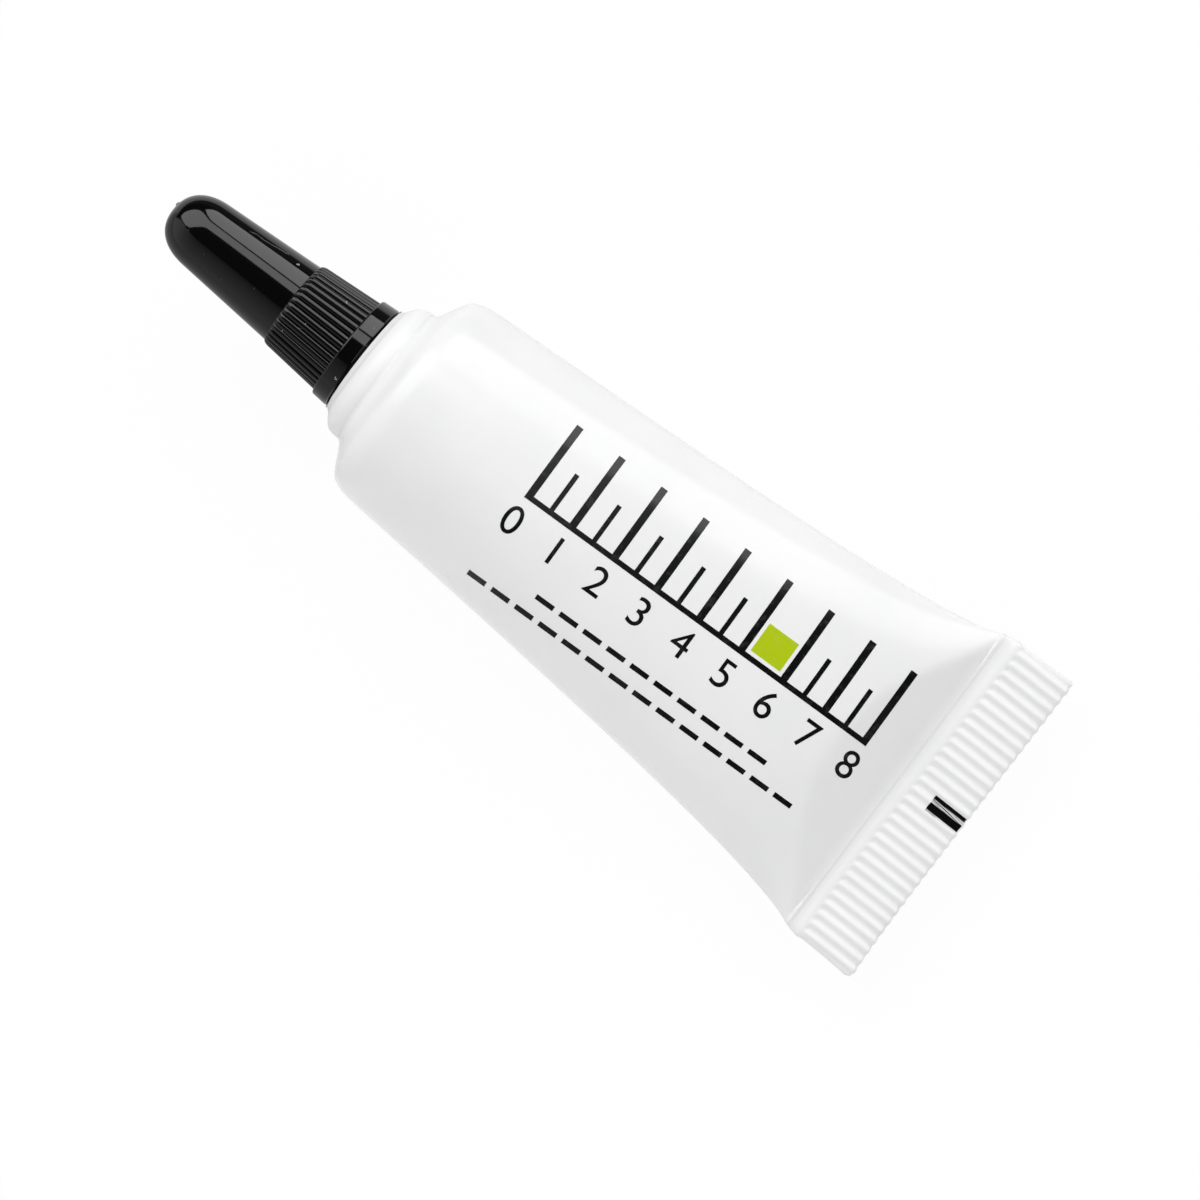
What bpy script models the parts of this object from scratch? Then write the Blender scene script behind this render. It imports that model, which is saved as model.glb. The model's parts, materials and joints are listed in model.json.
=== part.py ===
"""A tube of silicone grease: a crimped squeeze tube, its moulded head and a screw cap.

Lengths are in metres. Every piece is turned about the tube's own X axis, which runs from the cap to
the crimp, with x = 0 on the collar's face under the cap. The sleeve and the grease are then pressed
flat towards the crimp. An empty lays the tube on its belly: Z is up, and the origin is on the table,
below the middle of the whole tube.
"""

import math

import bmesh
import bpy
from mathutils import Vector

MM = 0.001

# Fits between pieces
FIT_GAP = 0.3 * MM
THREAD_CLEARANCE = 0.25 * MM
NOZZLE_CLEARANCE = 0.85 * MM

# Sleeve
TUBE_DIAMETER = 19.0 * MM
SLEEVE_WALL = 0.5 * MM
BODY_LENGTH = 51.7 * MM  # from the sleeve's lip to the crimp
SHOULDER_ANGLE = math.radians(63.0)  # between the shoulder's cone and the axis
SHOULDER_ROUND = 2.0 * MM
LIP_STEP = 0.5 * MM  # how far the shoulder's cone starts outside the collar
BELLY_POWER = 0.315  # how full the pressed tube stays: lower is fuller
PRESSED_LENGTH = 36.0 * MM  # of the belly, that the table presses flat
WEDGE_ANGLE = math.radians(36.0)  # between the axis and the flat facets that run down to the crimp
HOLLOW_END = 0.8 * MM  # height of the slit in which the hollow ends
WEB_PER_INSET = 2.0  # how far a hollow stops short of the crimp, for each unit that it lies inside

# Crimp
CRIMP_LENGTH = 6.6 * MM
CRIMP_THICKNESS = 0.9 * MM
CRIMP_BAND = 1.0 * MM  # plain strip before the ridges
CRIMP_SKEW = math.radians(1.3)  # the seal isn't quite square to the axis
CRIMP_RIDGES = 30
RIDGE_HEIGHT = 0.3 * MM
RIDGE_RUNOUT = 0.35 * MM

# Head
HEAD_WALL = 1.0 * MM
COLLAR_HEIGHT = 2.5 * MM
COLLAR_ROUND = 1.35 * MM
COLLAR_SEAT = 0.1 * MM  # flat of the collar's face that shows round the cap
COLLAR_OVERHANG = 1.0 * MM  # of the collar over the throat in the sleeve's mouth
SKIRT_LENGTH = 0.8 * MM  # straight rim of the head inside the sleeve
NECK_DIAMETER = 5.0 * MM
NECK_WALL = 1.0 * MM
NECK_LENGTH = 6.0 * MM
NOZZLE_LENGTH = 9.3 * MM
NOZZLE_TIP_DIAMETER = 2.3 * MM
NOZZLE_BORE = 1.5 * MM

# Thread
THREAD_PITCH = 2.0 * MM
THREAD_RIDGE = 0.45 * MM  # radius of the rounded ridge
THREAD_MARGIN = 1.2 * MM  # plain neck below and above the thread
RIDGE_TIP = 0.3  # the ridge's radius at its two ends, against its full radius

# Cap and its seal
DRAFT = math.radians(4.0)  # taper of the nose, the nozzle and the grip
CAP_WALL = 0.73 * MM  # over the bore, at the top of the grip
NOSE_WALL = 1.11 * MM
NOSE_END_WALL = 1.6 * MM
DOME_HEIGHT = 2.4 * MM
GATE_DIAMETER = 0.7 * MM
GATE_HEIGHT = 0.12 * MM
BAND_HEIGHT = 1.72 * MM
BAND_STEP = 0.34 * MM  # the rim band stands this far outside the grip
GRIP_REACH = 1.4 * MM  # of the grip past the end of the neck
GRIP_ROUND = 0.3 * MM
RIB_COUNT = 40
RIB_DEPTH = 0.2 * MM
BORE_RELIEF = 0.6 * MM  # of the threaded bore past the end of the neck
MOUTH_CHAMFER = 0.3 * MM
SEAL_THICKNESS = 2.2 * MM
SEAL_PIN_LENGTH = 1.5 * MM

# Facets
HEAD_STEPS = 40
SEAL_STEPS = 24
HOLLOW_STEPS = 48
GREASE_STEPS = 36
BELLY_RINGS = 9
ARC_STEPS = 3
DOME_STEPS = 4
THREAD_POINTS = 20  # a turn
SLEEVE_STEPS = 4 * CRIMP_RIDGES  # a crest and a valley for each ridge, above and below
CAP_STEPS = 2 * RIB_COUNT
STRIP_POWER = 12  # section of the crimp, against 2 for an ellipse
MERGE_DISTANCE = 1e-6
SHARP_ANGLE = math.radians(30.0)

# Worked out: the axis from the nozzle's tip to the head
NECK_RADIUS = NECK_DIAMETER / 2
NECK_BORE_RADIUS = NECK_RADIUS - NECK_WALL
NOZZLE_BORE_RADIUS = NOZZLE_BORE / 2
NOZZLE_TIP_X = -(NECK_LENGTH + NOZZLE_LENGTH)
SEAL_FACE_X = NOZZLE_TIP_X - FIT_GAP
SEAL_BACK_X = SEAL_FACE_X - SEAL_THICKNESS
PIN_END_X = SEAL_FACE_X + SEAL_PIN_LENGTH
CAVITY_END_X = SEAL_BACK_X - FIT_GAP
DOME_TIP_X = CAVITY_END_X - NOSE_END_WALL
DOME_BASE_X = DOME_TIP_X + DOME_HEIGHT
RIM_X = -FIT_GAP
BAND_TOP_X = RIM_X - BAND_HEIGHT
GRIP_TOP_X = -(NECK_LENGTH + GRIP_REACH)
BORE_END_X = -(NECK_LENGTH + BORE_RELIEF)
BORE_RADIUS = NECK_RADIUS + THREAD_RIDGE + THREAD_CLEARANCE
GRIP_TOP_RADIUS = BORE_RADIUS + CAP_WALL
GRIP_BASE_RADIUS = GRIP_TOP_RADIUS + (BAND_TOP_X - GRIP_TOP_X) * math.tan(DRAFT)
BAND_RADIUS = GRIP_BASE_RADIUS + BAND_STEP
RIM_RADIUS = BAND_RADIUS + BAND_HEIGHT * math.tan(DRAFT)
COLLAR_RADIUS = RIM_RADIUS + COLLAR_SEAT + COLLAR_ROUND
THROAT_RADIUS = COLLAR_RADIUS - COLLAR_OVERHANG
MOUTH_RADIUS = THROAT_RADIUS + FIT_GAP

# Worked out: the sleeve
TUBE_RADIUS = TUBE_DIAMETER / 2
LIP_X = COLLAR_HEIGHT + FIT_GAP
LIP_RADIUS = COLLAR_RADIUS + LIP_STEP
UNDER_LIP_X = LIP_X + SLEEVE_WALL
SHOULDER_X = (
    LIP_X
    + (TUBE_RADIUS - LIP_RADIUS) / math.tan(SHOULDER_ANGLE)
    + SHOULDER_ROUND * math.tan(SHOULDER_ANGLE / 2)
)
SKIRT_END_X = SHOULDER_X + SKIRT_LENGTH
CRIMP_X = LIP_X + BODY_LENGTH
SLEEVE_END_X = CRIMP_X + CRIMP_LENGTH
HALF_GIRTH_POWER = math.log(2) / math.log(math.pi / 2)  # exact for a circle and for a flat strip


def nozzle_radius(x):
    """Radius of the nozzle's tapered outside, carried on past its tip for the cap round it."""
    return NOZZLE_TIP_DIAMETER / 2 + (x - NOZZLE_TIP_X) * math.tan(DRAFT)


def cavity_radius(x):
    """Radius of the hollow in the cap's nose."""
    return nozzle_radius(x) + NOZZLE_CLEARANCE


def nose_radius(x):
    """Radius of the outside of the cap's nose."""
    return cavity_radius(x) + NOSE_WALL


def arc(centre, radii, start, end, steps):
    """Points of an elliptic arc in (x, radius), with angles from the X axis."""
    points = []
    for step in range(steps + 1):
        angle = start + (end - start) * step / steps
        points.append((centre[0] + radii[0] * math.cos(angle), centre[1] + radii[1] * math.sin(angle)))
    return points


def cone_x(radius, inset):
    """Where the shoulder's cone has this radius, on the surface this far inside its skin."""
    return LIP_X + inset / math.sin(SHOULDER_ANGLE) + (radius - LIP_RADIUS) / math.tan(SHOULDER_ANGLE)


def cone_radius(x, inset):
    """Radius of the shoulder's cone at x, on the surface this far inside its skin."""
    return LIP_RADIUS + (x - cone_x(LIP_RADIUS, inset)) * math.tan(SHOULDER_ANGLE)


def shoulder_arc(inset):
    """Points from the round sleeve to the shoulder's cone, this far inside the skin."""
    centre = (SHOULDER_X, TUBE_RADIUS - SHOULDER_ROUND)
    radius = SHOULDER_ROUND - inset
    return arc(centre, (radius, radius), math.pi / 2, math.pi / 2 + SHOULDER_ANGLE, ARC_STEPS)


def hollow_end(inset):
    """Where the surface this far inside the sleeve's skin would close."""
    return CRIMP_X - WEB_PER_INSET * inset


def full_depth(x, inset=0.0):
    """Half the height that a full tube would have at x, on the surface this far inside its skin."""
    end = hollow_end(inset)
    share = min(1.0, max(0.0, (end - x) / (end - SHOULDER_X)))
    return (TUBE_RADIUS - inset) * share**BELLY_POWER


def belly_depth(x, inset=0.0):
    """Half the height of the pressed tube at x, where straight facets lead down to the crimp."""
    least_height = HOLLOW_END if inset else CRIMP_THICKNESS
    wedge = least_height / 2 + (hollow_end(inset) - x) * math.tan(WEDGE_ANGLE)
    return min(full_depth(x, inset), wedge)


def skin_depth(x):
    """Half the height of the tube's skin at x, the crimp included."""
    return max(belly_depth(x), CRIMP_THICKNESS / 2)


def skin_width(x):
    """Half the width of the tube's skin at x: a full tube there keeps the round tube's girth."""
    girth = (math.pi / 2 * TUBE_RADIUS) ** HALF_GIRTH_POWER
    depth = max(full_depth(x), CRIMP_THICKNESS / 2)
    return (girth - depth**HALF_GIRTH_POWER) ** (1 / HALF_GIRTH_POWER)


def belly_rings(inset, start_x, least_depth):
    """Places of the rings from the crimp back to start_x, closer where a full tube closes."""
    end = hollow_end(inset)
    radius = TUBE_RADIUS - inset
    first = math.acos(min(1.0, full_depth(start_x, inset) / radius))
    last = math.acos(least_depth / radius)
    places = []
    for ring in range(BELLY_RINGS + 1):
        angle = last + (first - last) * ring / BELLY_RINGS
        places.append(end - (end - SHOULDER_X) * math.cos(angle) ** (1 / BELLY_POWER))
    return places


PRESS_SLOPE = (TUBE_RADIUS - belly_depth(SHOULDER_X + PRESSED_LENGTH)) / PRESSED_LENGTH
REST_TILT = math.atan(PRESS_SLOPE)


def table_depth(x):
    """Depth of the table below the tube's axis at x."""
    return TUBE_RADIUS - (x - SHOULDER_X) * PRESS_SLOPE


def ridge_share(x):
    """How far the crimp's ridges have risen at x, from 0 to 1."""
    return min(1.0, max(0.0, (x - CRIMP_X - CRIMP_BAND) / RIDGE_RUNOUT))


def pressed(point, inset, steps):
    """The place of a point of the round tube once the tube is pressed flat towards the crimp."""
    x, y, z = point
    radius = math.hypot(y, z)
    if x <= SHOULDER_X or radius < MERGE_DISTANCE:
        return x, y, z
    share = radius / (TUBE_RADIUS - inset)
    depth = belly_depth(x, inset) if inset else skin_depth(x)
    flatness = 1 - skin_depth(x) / TUBE_RADIUS
    spoke = round(math.atan2(z, y) / math.tau * steps)
    turn = abs(spoke) * math.tau / steps
    across = (1 - flatness) * math.cos(turn) + flatness * (1 - 2 * turn / math.pi)
    power = STRIP_POWER if x > CRIMP_X + MERGE_DISTANCE else 2
    up = max(0.0, 1 - abs(across) ** power) ** (1 / power)
    width = (skin_width(x) - inset) * share * across
    height = math.copysign(depth * share * up, spoke)
    if abs(spoke) % (steps // 2):
        height += (-1) ** spoke * ridge_share(x) * RIDGE_HEIGHT / 2
    height = max(height, inset - table_depth(x))
    return x - width * math.tan(CRIMP_SKEW) * flatness**2, width, height


def add_material(name, colour, roughness):
    """A Principled material of one colour."""
    material = bpy.data.materials.new(name)
    material.use_nodes = True
    shader = material.node_tree.nodes["Principled BSDF"]
    shader.inputs["Base Color"].default_value = (*colour, 1.0)
    shader.inputs["Roughness"].default_value = roughness
    return material


def baked(blank):
    """The blank's evaluated mesh, with the blank itself removed."""
    bpy.context.view_layer.update()
    graph = bpy.context.evaluated_depsgraph_get()
    mesh = bpy.data.meshes.new_from_object(blank.evaluated_get(graph))
    bpy.data.objects.remove(blank)
    return mesh


def turned(name, profile, steps, loop=False):
    """A mesh turned about X from (x, radius) points, which run from the crimp to the cap outside."""
    edges = [(i, i + 1) for i in range(len(profile) - 1)]
    if loop:
        edges.append((len(profile) - 1, 0))
    outline = bpy.data.meshes.new(name)
    outline.from_pydata([(x, radius, 0.0) for x, radius in profile], edges, [])
    blank = bpy.data.objects.new(name, outline)
    bpy.context.scene.collection.objects.link(blank)
    screw = blank.modifiers.new("turn", "SCREW")
    screw.axis = "X"
    screw.steps = screw.render_steps = steps
    screw.use_merge_vertices = True
    screw.merge_threshold = MERGE_DISTANCE
    return baked(blank)


def thread_ridge(name, radius, start_x, turns):
    """A mesh of one right-hand ridge that climbs from start_x towards the cap's tip."""
    curve = bpy.data.curves.new(name, "CURVE")
    curve.dimensions = "3D"
    curve.bevel_depth = THREAD_RIDGE
    curve.bevel_resolution = 2
    curve.use_fill_caps = True
    spline = curve.splines.new("POLY")
    last = round(turns * THREAD_POINTS)
    spline.points.add(last)
    for index, point in enumerate(spline.points):
        angle = math.tau * index / THREAD_POINTS
        x = start_x - THREAD_PITCH * index / THREAD_POINTS
        point.co = (x, radius * math.cos(angle), -radius * math.sin(angle), 1.0)
        point.radius = RIDGE_TIP if index in (0, last) else 1.0
    blank = bpy.data.objects.new(name, curve)
    bpy.context.scene.collection.objects.link(blank)
    mesh = baked(blank)
    weld(mesh)
    return mesh


def weld(mesh):
    """Merges the mesh's doubled points."""
    shape = bmesh.new()
    shape.from_mesh(mesh)
    bmesh.ops.remove_doubles(shape, verts=shape.verts, dist=MERGE_DISTANCE)
    shape.to_mesh(mesh)
    shape.free()


def close_end(mesh):
    """Closes the mesh's one open end with a flat face."""
    shape = bmesh.new()
    shape.from_mesh(mesh)
    bmesh.ops.holes_fill(shape, edges=[edge for edge in shape.edges if edge.is_boundary])
    bmesh.ops.recalc_face_normals(shape, faces=shape.faces)
    shape.to_mesh(mesh)
    shape.free()


def press(mesh, inset, steps):
    """Presses a turned mesh flat towards the crimp."""
    for vertex in mesh.vertices:
        vertex.co = pressed(vertex.co, inset, steps)


def add_object(name, mesh, collection, parent):
    """An object of this mesh, smooth but for its edges, in the tube's frame."""
    mesh.shade_smooth()
    mesh.set_sharp_from_angle(angle=SHARP_ANGLE)
    piece = bpy.data.objects.new(name, mesh)
    piece.parent = parent
    collection.objects.link(piece)
    return piece


def add_part(name, mesh, material, collection, parent):
    """A piece of the tube, with its material."""
    mesh.materials.clear()
    mesh.materials.append(material)
    return add_object(name, mesh, collection, parent)


def combine(piece, tool_name, tool_mesh, operation, tools):
    """Cuts or joins a tool's mesh with the piece by a Boolean."""
    tool = add_object(tool_name, tool_mesh, tools, piece.parent)
    tool.hide_render = True
    tool.display_type = "WIRE"
    boolean = piece.modifiers.new(tool_name, "BOOLEAN")
    boolean.operation = operation
    boolean.object = tool


def sleeve_skin():
    """The solid of the sleeve's skin, pressed and crimped."""
    rings = [SLEEVE_END_X, CRIMP_X + CRIMP_BAND + RIDGE_RUNOUT, CRIMP_X + CRIMP_BAND, CRIMP_X + RIDGE_RUNOUT]
    rings += belly_rings(0.0, SHOULDER_X, CRIMP_THICKNESS / 2)
    profile = [(x, TUBE_RADIUS) for x in rings]
    profile += shoulder_arc(0.0)[1:]
    profile += [(LIP_X, LIP_RADIUS), (LIP_X, 0.0)]
    mesh = turned("tube_sleeve", profile, SLEEVE_STEPS)
    press(mesh, 0.0, SLEEVE_STEPS)
    close_end(mesh)
    return mesh


def sleeve_hollow():
    """The solid of the space inside the sleeve, which passes out through its mouth."""
    radius = TUBE_RADIUS - SLEEVE_WALL
    rings = belly_rings(SLEEVE_WALL, SHOULDER_X, HOLLOW_END / 2)
    profile = [(rings[0], 0.0)]
    profile += [(x, radius) for x in rings]
    profile += shoulder_arc(SLEEVE_WALL)[1:]
    profile.append((UNDER_LIP_X, cone_radius(UNDER_LIP_X, SLEEVE_WALL)))
    profile.append((UNDER_LIP_X, MOUTH_RADIUS))
    profile += [(LIP_X - SLEEVE_WALL, MOUTH_RADIUS), (LIP_X - SLEEVE_WALL, 0.0)]
    mesh = turned("sleeve_hollow", profile, HOLLOW_STEPS)
    press(mesh, SLEEVE_WALL, HOLLOW_STEPS)
    return mesh


def head_blank():
    """The head without its thread, open right through."""
    outer = SLEEVE_WALL + FIT_GAP
    inner = outer + HEAD_WALL
    profile = [(SKIRT_END_X, TUBE_RADIUS - inner), (SKIRT_END_X, TUBE_RADIUS - outer)]
    profile += shoulder_arc(outer)
    profile.append((UNDER_LIP_X + FIT_GAP, cone_radius(UNDER_LIP_X + FIT_GAP, outer)))
    profile.append((UNDER_LIP_X + FIT_GAP, THROAT_RADIUS))
    profile += [(COLLAR_HEIGHT, THROAT_RADIUS), (COLLAR_HEIGHT, COLLAR_RADIUS)]
    edge = (COLLAR_ROUND, COLLAR_RADIUS - COLLAR_ROUND)
    profile += arc(edge, (COLLAR_ROUND, COLLAR_ROUND), math.pi / 2, math.pi, ARC_STEPS)
    profile += [(0.0, NECK_RADIUS), (-NECK_LENGTH, NECK_RADIUS)]
    profile += [(-NECK_LENGTH, nozzle_radius(-NECK_LENGTH)), (NOZZLE_TIP_X, nozzle_radius(NOZZLE_TIP_X))]
    profile += [(NOZZLE_TIP_X, NOZZLE_BORE_RADIUS), (-NECK_LENGTH, NOZZLE_BORE_RADIUS)]
    profile.append((NECK_BORE_RADIUS - NECK_LENGTH, NECK_BORE_RADIUS))
    profile.append((cone_x(NECK_BORE_RADIUS, inner), NECK_BORE_RADIUS))
    profile += reversed(shoulder_arc(inner))
    return turned("tube_head", profile, HEAD_STEPS, loop=True)


def cap_blank():
    """The cap without its thread, its grip ribbed."""
    profile = [(CAVITY_END_X, 0.0), (CAVITY_END_X, cavity_radius(CAVITY_END_X))]
    profile += [(GRIP_TOP_X, cavity_radius(GRIP_TOP_X)), (BORE_END_X, BORE_RADIUS)]
    profile += [(RIM_X - MOUTH_CHAMFER, BORE_RADIUS), (RIM_X, BORE_RADIUS + MOUTH_CHAMFER)]
    profile += [(RIM_X, RIM_RADIUS), (BAND_TOP_X, BAND_RADIUS), (BAND_TOP_X, GRIP_BASE_RADIUS)]
    profile += [(GRIP_TOP_X, GRIP_TOP_RADIUS), (GRIP_TOP_X - GRIP_ROUND, nose_radius(GRIP_TOP_X - GRIP_ROUND))]
    dome = arc((DOME_BASE_X, 0.0), (DOME_HEIGHT, nose_radius(DOME_BASE_X)), math.pi / 2, math.pi, DOME_STEPS)
    profile += dome[:-1]
    gate_x = DOME_TIP_X - GATE_HEIGHT
    profile += [(DOME_TIP_X, GATE_DIAMETER / 2), (gate_x, GATE_DIAMETER / 2), (gate_x, 0.0)]
    mesh = turned("cap", profile, CAP_STEPS)
    for vertex in mesh.vertices:
        x, y, z = vertex.co
        radius = math.hypot(y, z)
        on_grip = GRIP_TOP_X - MERGE_DISTANCE < x < BAND_TOP_X + MERGE_DISTANCE
        on_grip = on_grip and GRIP_TOP_RADIUS - MERGE_DISTANCE < radius < GRIP_BASE_RADIUS + MERGE_DISTANCE
        if on_grip and round(math.atan2(z, y) / math.tau * CAP_STEPS) % 2:
            sunk = (radius - RIB_DEPTH) / radius
            vertex.co = (x, y * sunk, z * sunk)
    return mesh


def seal():
    """The plug in the cap's nose, with the pin that closes the nozzle."""
    pin_radius = NOZZLE_BORE_RADIUS - FIT_GAP
    profile = [(PIN_END_X, 0.0), (PIN_END_X, pin_radius), (SEAL_FACE_X, pin_radius)]
    profile += [(x, cavity_radius(x) - FIT_GAP) for x in (SEAL_FACE_X, SEAL_BACK_X)]
    profile.append((SEAL_BACK_X, 0.0))
    return turned("cap_seal", profile, SEAL_STEPS)


def grease_fill():
    """The grease, clear of the sleeve, of the head and of the seal's pin."""
    skin = SLEEVE_WALL + FIT_GAP
    inner = skin + HEAD_WALL + FIT_GAP
    rings = belly_rings(skin, SKIRT_END_X + FIT_GAP, HOLLOW_END / 2)
    neck_radius = NECK_BORE_RADIUS - FIT_GAP
    stem_radius = NOZZLE_BORE_RADIUS - FIT_GAP
    profile = [(rings[0], 0.0)]
    profile += [(x, TUBE_RADIUS - skin) for x in rings]
    profile.append((SKIRT_END_X + FIT_GAP, TUBE_RADIUS - inner))
    profile += shoulder_arc(inner)[1:]
    profile.append((cone_x(neck_radius, inner), neck_radius))
    profile += [(neck_radius - NECK_LENGTH + FIT_GAP, neck_radius), (FIT_GAP - NECK_LENGTH, stem_radius)]
    profile += [(PIN_END_X + FIT_GAP, stem_radius), (PIN_END_X + FIT_GAP, 0.0)]
    mesh = turned("grease", profile, GREASE_STEPS)
    press(mesh, skin, GREASE_STEPS)
    return mesh


def lay_on_table(tube_axis, pieces):
    """Tilts the tube onto its pressed belly, with the origin under the middle of its box."""
    tube_axis.rotation_euler = (0.0, REST_TILT, 0.0)
    bpy.context.view_layer.update()
    graph = bpy.context.evaluated_depsgraph_get()
    points = []
    for piece in pieces:
        evaluated = piece.evaluated_get(graph)
        points += [evaluated.matrix_world @ vertex.co for vertex in evaluated.data.vertices]
    low = Vector([min(point[axis] for point in points) for axis in range(3)])
    high = Vector([max(point[axis] for point in points) for axis in range(3)])
    tube_axis.location = (-(low.x + high.x) / 2, -(low.y + high.y) / 2, -low.z)


def main():
    for leftover in list(bpy.data.objects):
        bpy.data.objects.remove(leftover)
    parts = bpy.data.collections.new("silicone_grease_tube")
    tools = bpy.data.collections.new("cutters")
    for collection in (parts, tools):
        bpy.context.scene.collection.children.link(collection)
    tube_axis = bpy.data.objects.new("tube_axis", None)
    parts.objects.link(tube_axis)

    white_sleeve = add_material("white_sleeve", (0.86, 0.86, 0.86), 0.3)
    white_head = add_material("white_head", (0.84, 0.84, 0.84), 0.35)
    black_cap = add_material("black_cap", (0.012, 0.012, 0.013), 0.22)
    natural_seal = add_material("natural_seal", (0.75, 0.74, 0.7), 0.45)
    clear_grease = add_material("clear_grease", (0.82, 0.82, 0.78), 0.25)

    sleeve = add_part("tube_sleeve", sleeve_skin(), white_sleeve, parts, tube_axis)
    combine(sleeve, "sleeve_hollow", sleeve_hollow(), "DIFFERENCE", tools)
    head = add_part("tube_head", head_blank(), white_head, parts, tube_axis)
    cap = add_part("cap", cap_blank(), black_cap, parts, tube_axis)
    turns = (NECK_LENGTH - 2 * THREAD_MARGIN) / THREAD_PITCH
    neck_thread = thread_ridge("neck_thread", NECK_RADIUS, -THREAD_MARGIN, turns)
    combine(head, "neck_thread", neck_thread, "UNION", tools)
    cap_start_x = -THREAD_MARGIN - THREAD_PITCH / 2
    cap_thread = thread_ridge("cap_thread", BORE_RADIUS, cap_start_x, turns - 0.5)
    combine(cap, "cap_thread", cap_thread, "UNION", tools)
    plug = add_part("cap_seal", seal(), natural_seal, parts, tube_axis)
    grease = add_part("grease", grease_fill(), clear_grease, parts, tube_axis)
    lay_on_table(tube_axis, [sleeve, head, cap, plug, grease])


main()
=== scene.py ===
"""The looks of a tube of silicone grease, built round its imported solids.

Every piece is modelled in the tube's own frame, where X runs along the axis from the cap to the crimp,
Z points away from the table, and x = 0 lies on the collar's face under the cap. It is then laid down in
the frame of the solids. Lengths are in metres, and in millimetres in values whose names end in _mm.
"""

import functools
import json
import logging
import math
from dataclasses import dataclass, field
from enum import Enum
from typing import Any, Callable, ClassVar

import bmesh
import bpy
from mathutils import Matrix, Vector


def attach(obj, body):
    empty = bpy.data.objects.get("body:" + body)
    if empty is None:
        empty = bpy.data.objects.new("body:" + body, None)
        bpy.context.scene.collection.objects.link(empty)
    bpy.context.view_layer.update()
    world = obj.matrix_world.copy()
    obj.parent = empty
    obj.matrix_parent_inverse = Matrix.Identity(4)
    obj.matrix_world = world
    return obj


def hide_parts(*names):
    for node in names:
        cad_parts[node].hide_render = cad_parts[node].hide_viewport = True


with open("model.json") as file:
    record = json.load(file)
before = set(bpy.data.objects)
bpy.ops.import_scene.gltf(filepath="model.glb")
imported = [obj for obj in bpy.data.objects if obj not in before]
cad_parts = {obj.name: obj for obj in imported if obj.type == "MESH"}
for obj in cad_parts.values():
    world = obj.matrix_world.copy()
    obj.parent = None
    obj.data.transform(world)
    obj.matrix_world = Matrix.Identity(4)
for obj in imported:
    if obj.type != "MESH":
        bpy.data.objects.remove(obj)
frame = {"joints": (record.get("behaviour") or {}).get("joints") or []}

MM = 0.001
MERGE = 0.1e-6  # points closer than this become one
NEAR = 1e-6  # a point this close to a place counts as there
DRAFT = math.radians(4.0)  # taper of the cap, the nozzle and the seal
GIRTH_POWER = math.log(2) / math.log(math.pi / 2)  # exact for a circle and for a flat strip
LOG = logging.getLogger("grease_tube")

Point = tuple[float, float]
Triple = tuple[float, float, float]
Colour = Triple


def clamped(value: float) -> float:
    """A value, held between 0 and 1."""
    return min(1.0, max(0.0, value))


def blended(low: float, high: float, share: float) -> float:
    """A value between low and high that leaves both ends level."""
    part = clamped(share)
    return low + (high - low) * part * part * (3 - 2 * part)


def soft_least(first: float, second: float, reach: float) -> float:
    """The smaller of two values, rounded over where they are closer than reach."""
    near = max(0.0, reach - abs(first - second)) / reach
    return min(first, second) - near * near * reach / 4


def through(points: tuple[Point, ...], x: float) -> float:
    """Reads a smooth curve that goes through points.

    Args:
        points: The curve's points as (x, value), in order of x.
        x: Where the curve is read.

    Returns:
        The value at x, held level past the curve's ends.
    """
    last = len(points) - 1
    if x <= points[0][0] or x >= points[last][0]:
        return points[0 if x <= points[0][0] else last][1]
    after = next(index for index in range(1, last + 1) if x <= points[index][0])
    slopes = []
    for index in (after - 1, after):
        left, right = points[max(index - 1, 0)], points[min(index + 1, last)]
        slopes.append((right[1] - left[1]) / (right[0] - left[0]))
    (start_x, start), (end_x, end) = points[after - 1], points[after]
    span = end_x - start_x
    part = (x - start_x) / span
    bend = part * (1 - part) * span * ((1 - part) * slopes[0] - part * slopes[1])
    return blended(start, end, part) + bend


def arc(centre: Point, radii: Point, start: float, end: float, steps: int) -> list[Point]:
    """Draws an elliptic arc.

    Args:
        centre: The arc's centre, as (x, radius).
        radii: Its reach along the axis and away from it.
        start: The first angle, from the X axis, in radians.
        end: The last angle.
        steps: How many chords it has.

    Returns:
        The points, both ends included.
    """
    angles = [start + (end - start) / steps * step for step in range(steps + 1)]
    return [(centre[0] + radii[0] * math.cos(turn), centre[1] + radii[1] * math.sin(turn)) for turn in angles]


def edge_to_cap(x: float, radius: float, edge: float, steps: int) -> list[Point]:
    """A rounded edge at x that faces the cap's tip, drawn from the outside to the face."""
    return arc((x + edge, radius - edge), (edge, edge), math.pi / 2, math.pi, steps)


def edge_to_crimp(x: float, radius: float, edge: float, steps: int) -> list[Point]:
    """A rounded edge at x that faces the crimp, drawn from the face to the outside."""
    return arc((x - edge, radius - edge), (edge, edge), 0.0, math.pi / 2, steps)


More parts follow.
